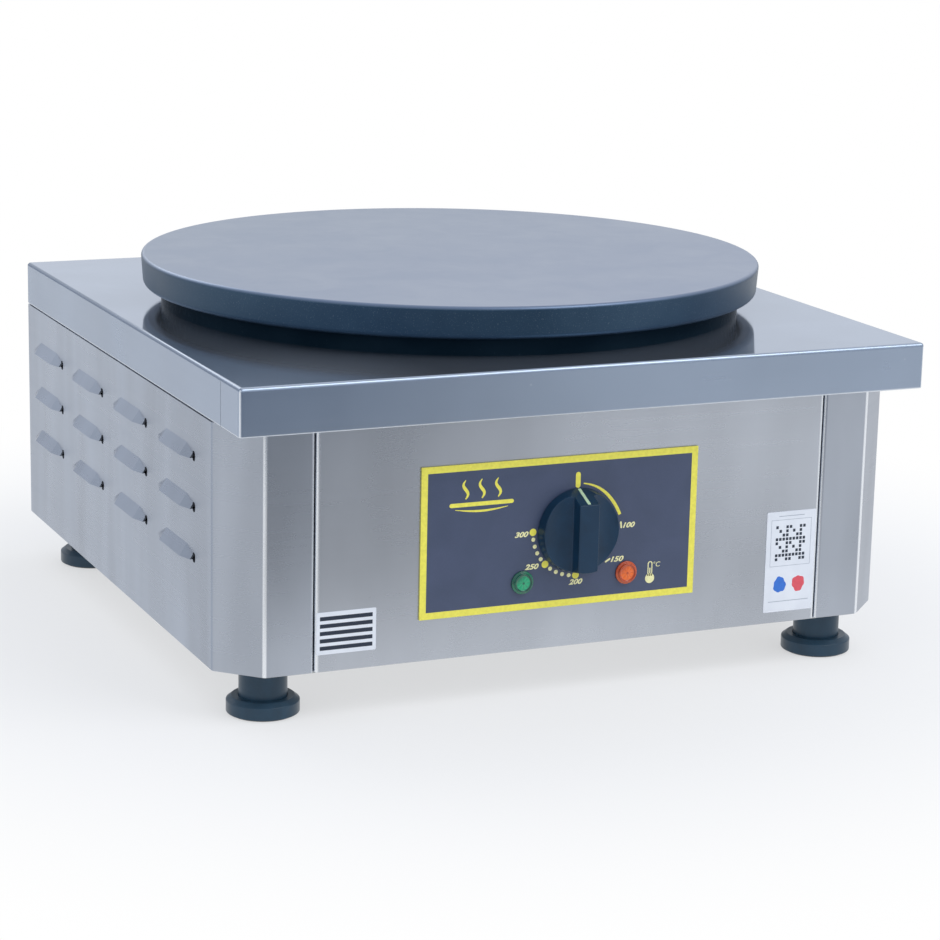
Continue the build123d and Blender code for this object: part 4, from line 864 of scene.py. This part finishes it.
lamp_lens("green_pilot_lamp", "green_lamp_lens", green_glass)
lamp_lens("orange_pilot_lamp", "orange_lamp_lens", orange_glass)


# ------------------------------------------------------------------ pointer on the knob
def knob_pointer():
    """A thin pale strip along the sloping upper end of the knob's bar."""
    low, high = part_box("control_knob")
    facet_back = Vector((0, high.y, (dial_z + 26.0) * MM))
    facet_front = Vector((0, low.y, (dial_z + 19.1) * MM))
    facet = (facet_front - facet_back).normalized()
    outward = Vector((0, facet.z, -facet.y))
    vertices = []
    for lift in (-0.03, 0.07):
        for along, half_width in ((0.7, 0.9), (1.5, 1.0), (16.2, 1.0), (16.7, 0.8)):
            place = facet_back + facet * along * MM + outward * lift * MM
            vertices += [((dial_x + side * half_width) * MM, place.y, place.z) for side in (-1, 1)]
    faces = [(0, 1, 9, 8), (6, 14, 15, 7)]
    for i in (0, 2, 4):
        faces.append((8 + i, 9 + i, 11 + i, 10 + i))
        faces.append((2 + i, 3 + i, 1 + i, i))
        faces.append((8 + i, 10 + i, 2 + i, i))
        faces.append((11 + i, 9 + i, 1 + i, 3 + i))
    piece = add_mesh("knob_pointer", vertices, faces, pointer_ink)
    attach(piece, "knob")


knob_pointer()


# ------------------------------------------------------------------ floor, light and camera
def seen_directly(g, path):
    """1 for what the camera and glass see, 0 for light that falls on things."""
    return g.math("MAXIMUM", path.outputs["Is Camera Ray"], path.outputs["Is Transmission Ray"])


def floor_paper():
    """White paper that keeps a shadow near the object and runs out to white.

    What steel mirrors of it is darker in front of the object and lighter to the sides.
    """
    paper = bpy.data.materials.new("paper_floor")
    paper.use_nodes = True
    g = Graph(paper.node_tree)
    g.nodes.clear()
    path = g.node("ShaderNodeLightPath")
    mirrored = path.outputs["Is Glossy Ray"]
    place = g.node("ShaderNodeTexCoord").outputs["Object"]
    part = g.node("ShaderNodeSeparateXYZ", Vector=place)
    far = g.node("ShaderNodeVectorMath", {"operation": "LENGTH"}, i0=place).outputs["Value"]
    smooth = {"interpolation_type": "SMOOTHSTEP"}
    fade = g.node("ShaderNodeMapRange", smooth, i0=far, i1=0.30, i2=0.62, i3=0.55, i4=1.0)
    white = g.math("MULTIPLY", fade.outputs["Result"], seen_directly(g, path))
    dimmest = 0.42
    aside = g.math("ABSOLUTE", g.math("ADD", part.outputs["X"], 0.06))
    beside = g.span(aside, 0.05, 0.50, dimmest - 1.0, 0.0)
    close = g.span(part.outputs["Y"], -0.52, -0.34, dimmest - 1.0, 0.0)
    tone = g.math("MULTIPLY_ADD", mirrored, g.math("MAXIMUM", beside, close), 1.0)
    glow = g.node("ShaderNodeEmission", Color=tone)
    matt = g.node("ShaderNodeBsdfDiffuse", Color=(0.80, 0.81, 0.83, 1))
    glowing = g.math("MULTIPLY_ADD", mirrored, 0.92, white)
    mixed = g.node("ShaderNodeMixShader", i0=glowing, i1=matt.outputs[0], i2=glow.outputs[0])
    g.node("ShaderNodeOutputMaterial", Surface=mixed.outputs[0])
    return paper


floor_outline = [(-2.2, -0.84), (0.12, -0.92), (0.62, -1.7), (2.4, -1.7), (2.4, 3.0), (-2.2, 3.0)]
floor_corners = [(x, y, 0) for x, y in floor_outline]
floor = add_mesh("floor", floor_corners, [tuple(range(len(floor_corners)))], floor_paper())


def studio_world():
    """A soft room that grows lighter upwards, in front of a white backdrop."""
    world = bpy.data.worlds.new("studio")
    world.use_nodes = True
    g = Graph(world.node_tree)
    g.nodes.clear()
    path = g.node("ShaderNodeLightPath")
    aim = g.node("ShaderNodeTexCoord").outputs["Generated"]
    height = g.node("ShaderNodeSeparateXYZ", Vector=aim).outputs["Z"]
    shade = g.node("ShaderNodeValToRGB", Fac=g.span(height, -1.0, 1.0, 0.0, 1.0))
    stops = shade.color_ramp.elements
    stops[0].position, stops[0].color = 0.30, (0.12, 0.15, 0.20, 1)
    stops[1].position, stops[1].color = 1.0, (0.86, 0.90, 0.97, 1)
    for position, color in (
        (0.455, (0.19, 0.24, 0.31, 1)),
        (0.50, (0.62, 0.66, 0.74, 1)),
        (0.56, (0.88, 0.92, 1.0, 1)),
        (0.75, (0.90, 0.94, 1.0, 1)),
    ):
        stops.new(position).color = color
    room = g.node("ShaderNodeBackground", Color=shade.outputs["Color"], Strength=0.92)
    backdrop = g.node("ShaderNodeBackground", Color=(1, 1, 1, 1))
    seen = seen_directly(g, path)
    chosen = g.node("ShaderNodeMixShader", i0=seen, i1=room.outputs[0], i2=backdrop.outputs[0])
    g.node("ShaderNodeOutputWorld", Surface=chosen.outputs[0])
    return world


bpy.context.scene.world = studio_world()


def softbox(name, place, target, width, height, power):
    light = bpy.data.lights.new(name, "AREA")
    light.shape = "RECTANGLE"
    light.size, light.size_y = width, height
    light.energy = power
    box = bpy.data.objects.new(name, light)
    bpy.context.scene.collection.objects.link(box)
    box.location = place
    box.rotation_euler = (Vector(target) - Vector(place)).to_track_quat("-Z", "Y").to_euler()


softbox("key_light", (0.9, -1.3, 1.9), (0, 0, 0.1), 1.5, 1.1, 14.0)
softbox("back_light", (-0.6, 1.9, 1.5), (0, 0, 0.2), 1.8, 1.0, 8.0)

camera_data = bpy.data.cameras.new("camera")
camera_data.lens = 108.93
camera_data.sensor_width = 36.0
camera = bpy.data.objects.new("camera", camera_data)
bpy.context.scene.collection.objects.link(camera)
yaw, pitch, roll = radians(23.97), radians(13.48), radians(1.26)
forward = Vector((sin(yaw) * cos(pitch), cos(yaw) * cos(pitch), -sin(pitch)))
right = Vector((cos(yaw), -sin(yaw), 0))
up = right.cross(forward)
rolled_right = right * cos(roll) + up * sin(roll)
rolled_up = up * cos(roll) - right * sin(roll)
camera_turn = Matrix((rolled_right, rolled_up, -forward)).transposed().to_4x4()
camera.matrix_world = Matrix.Translation((-0.72973, -1.69051, 0.53341)) @ camera_turn
bpy.context.scene.camera = camera
bpy.context.scene.view_settings.view_transform = "Standard"
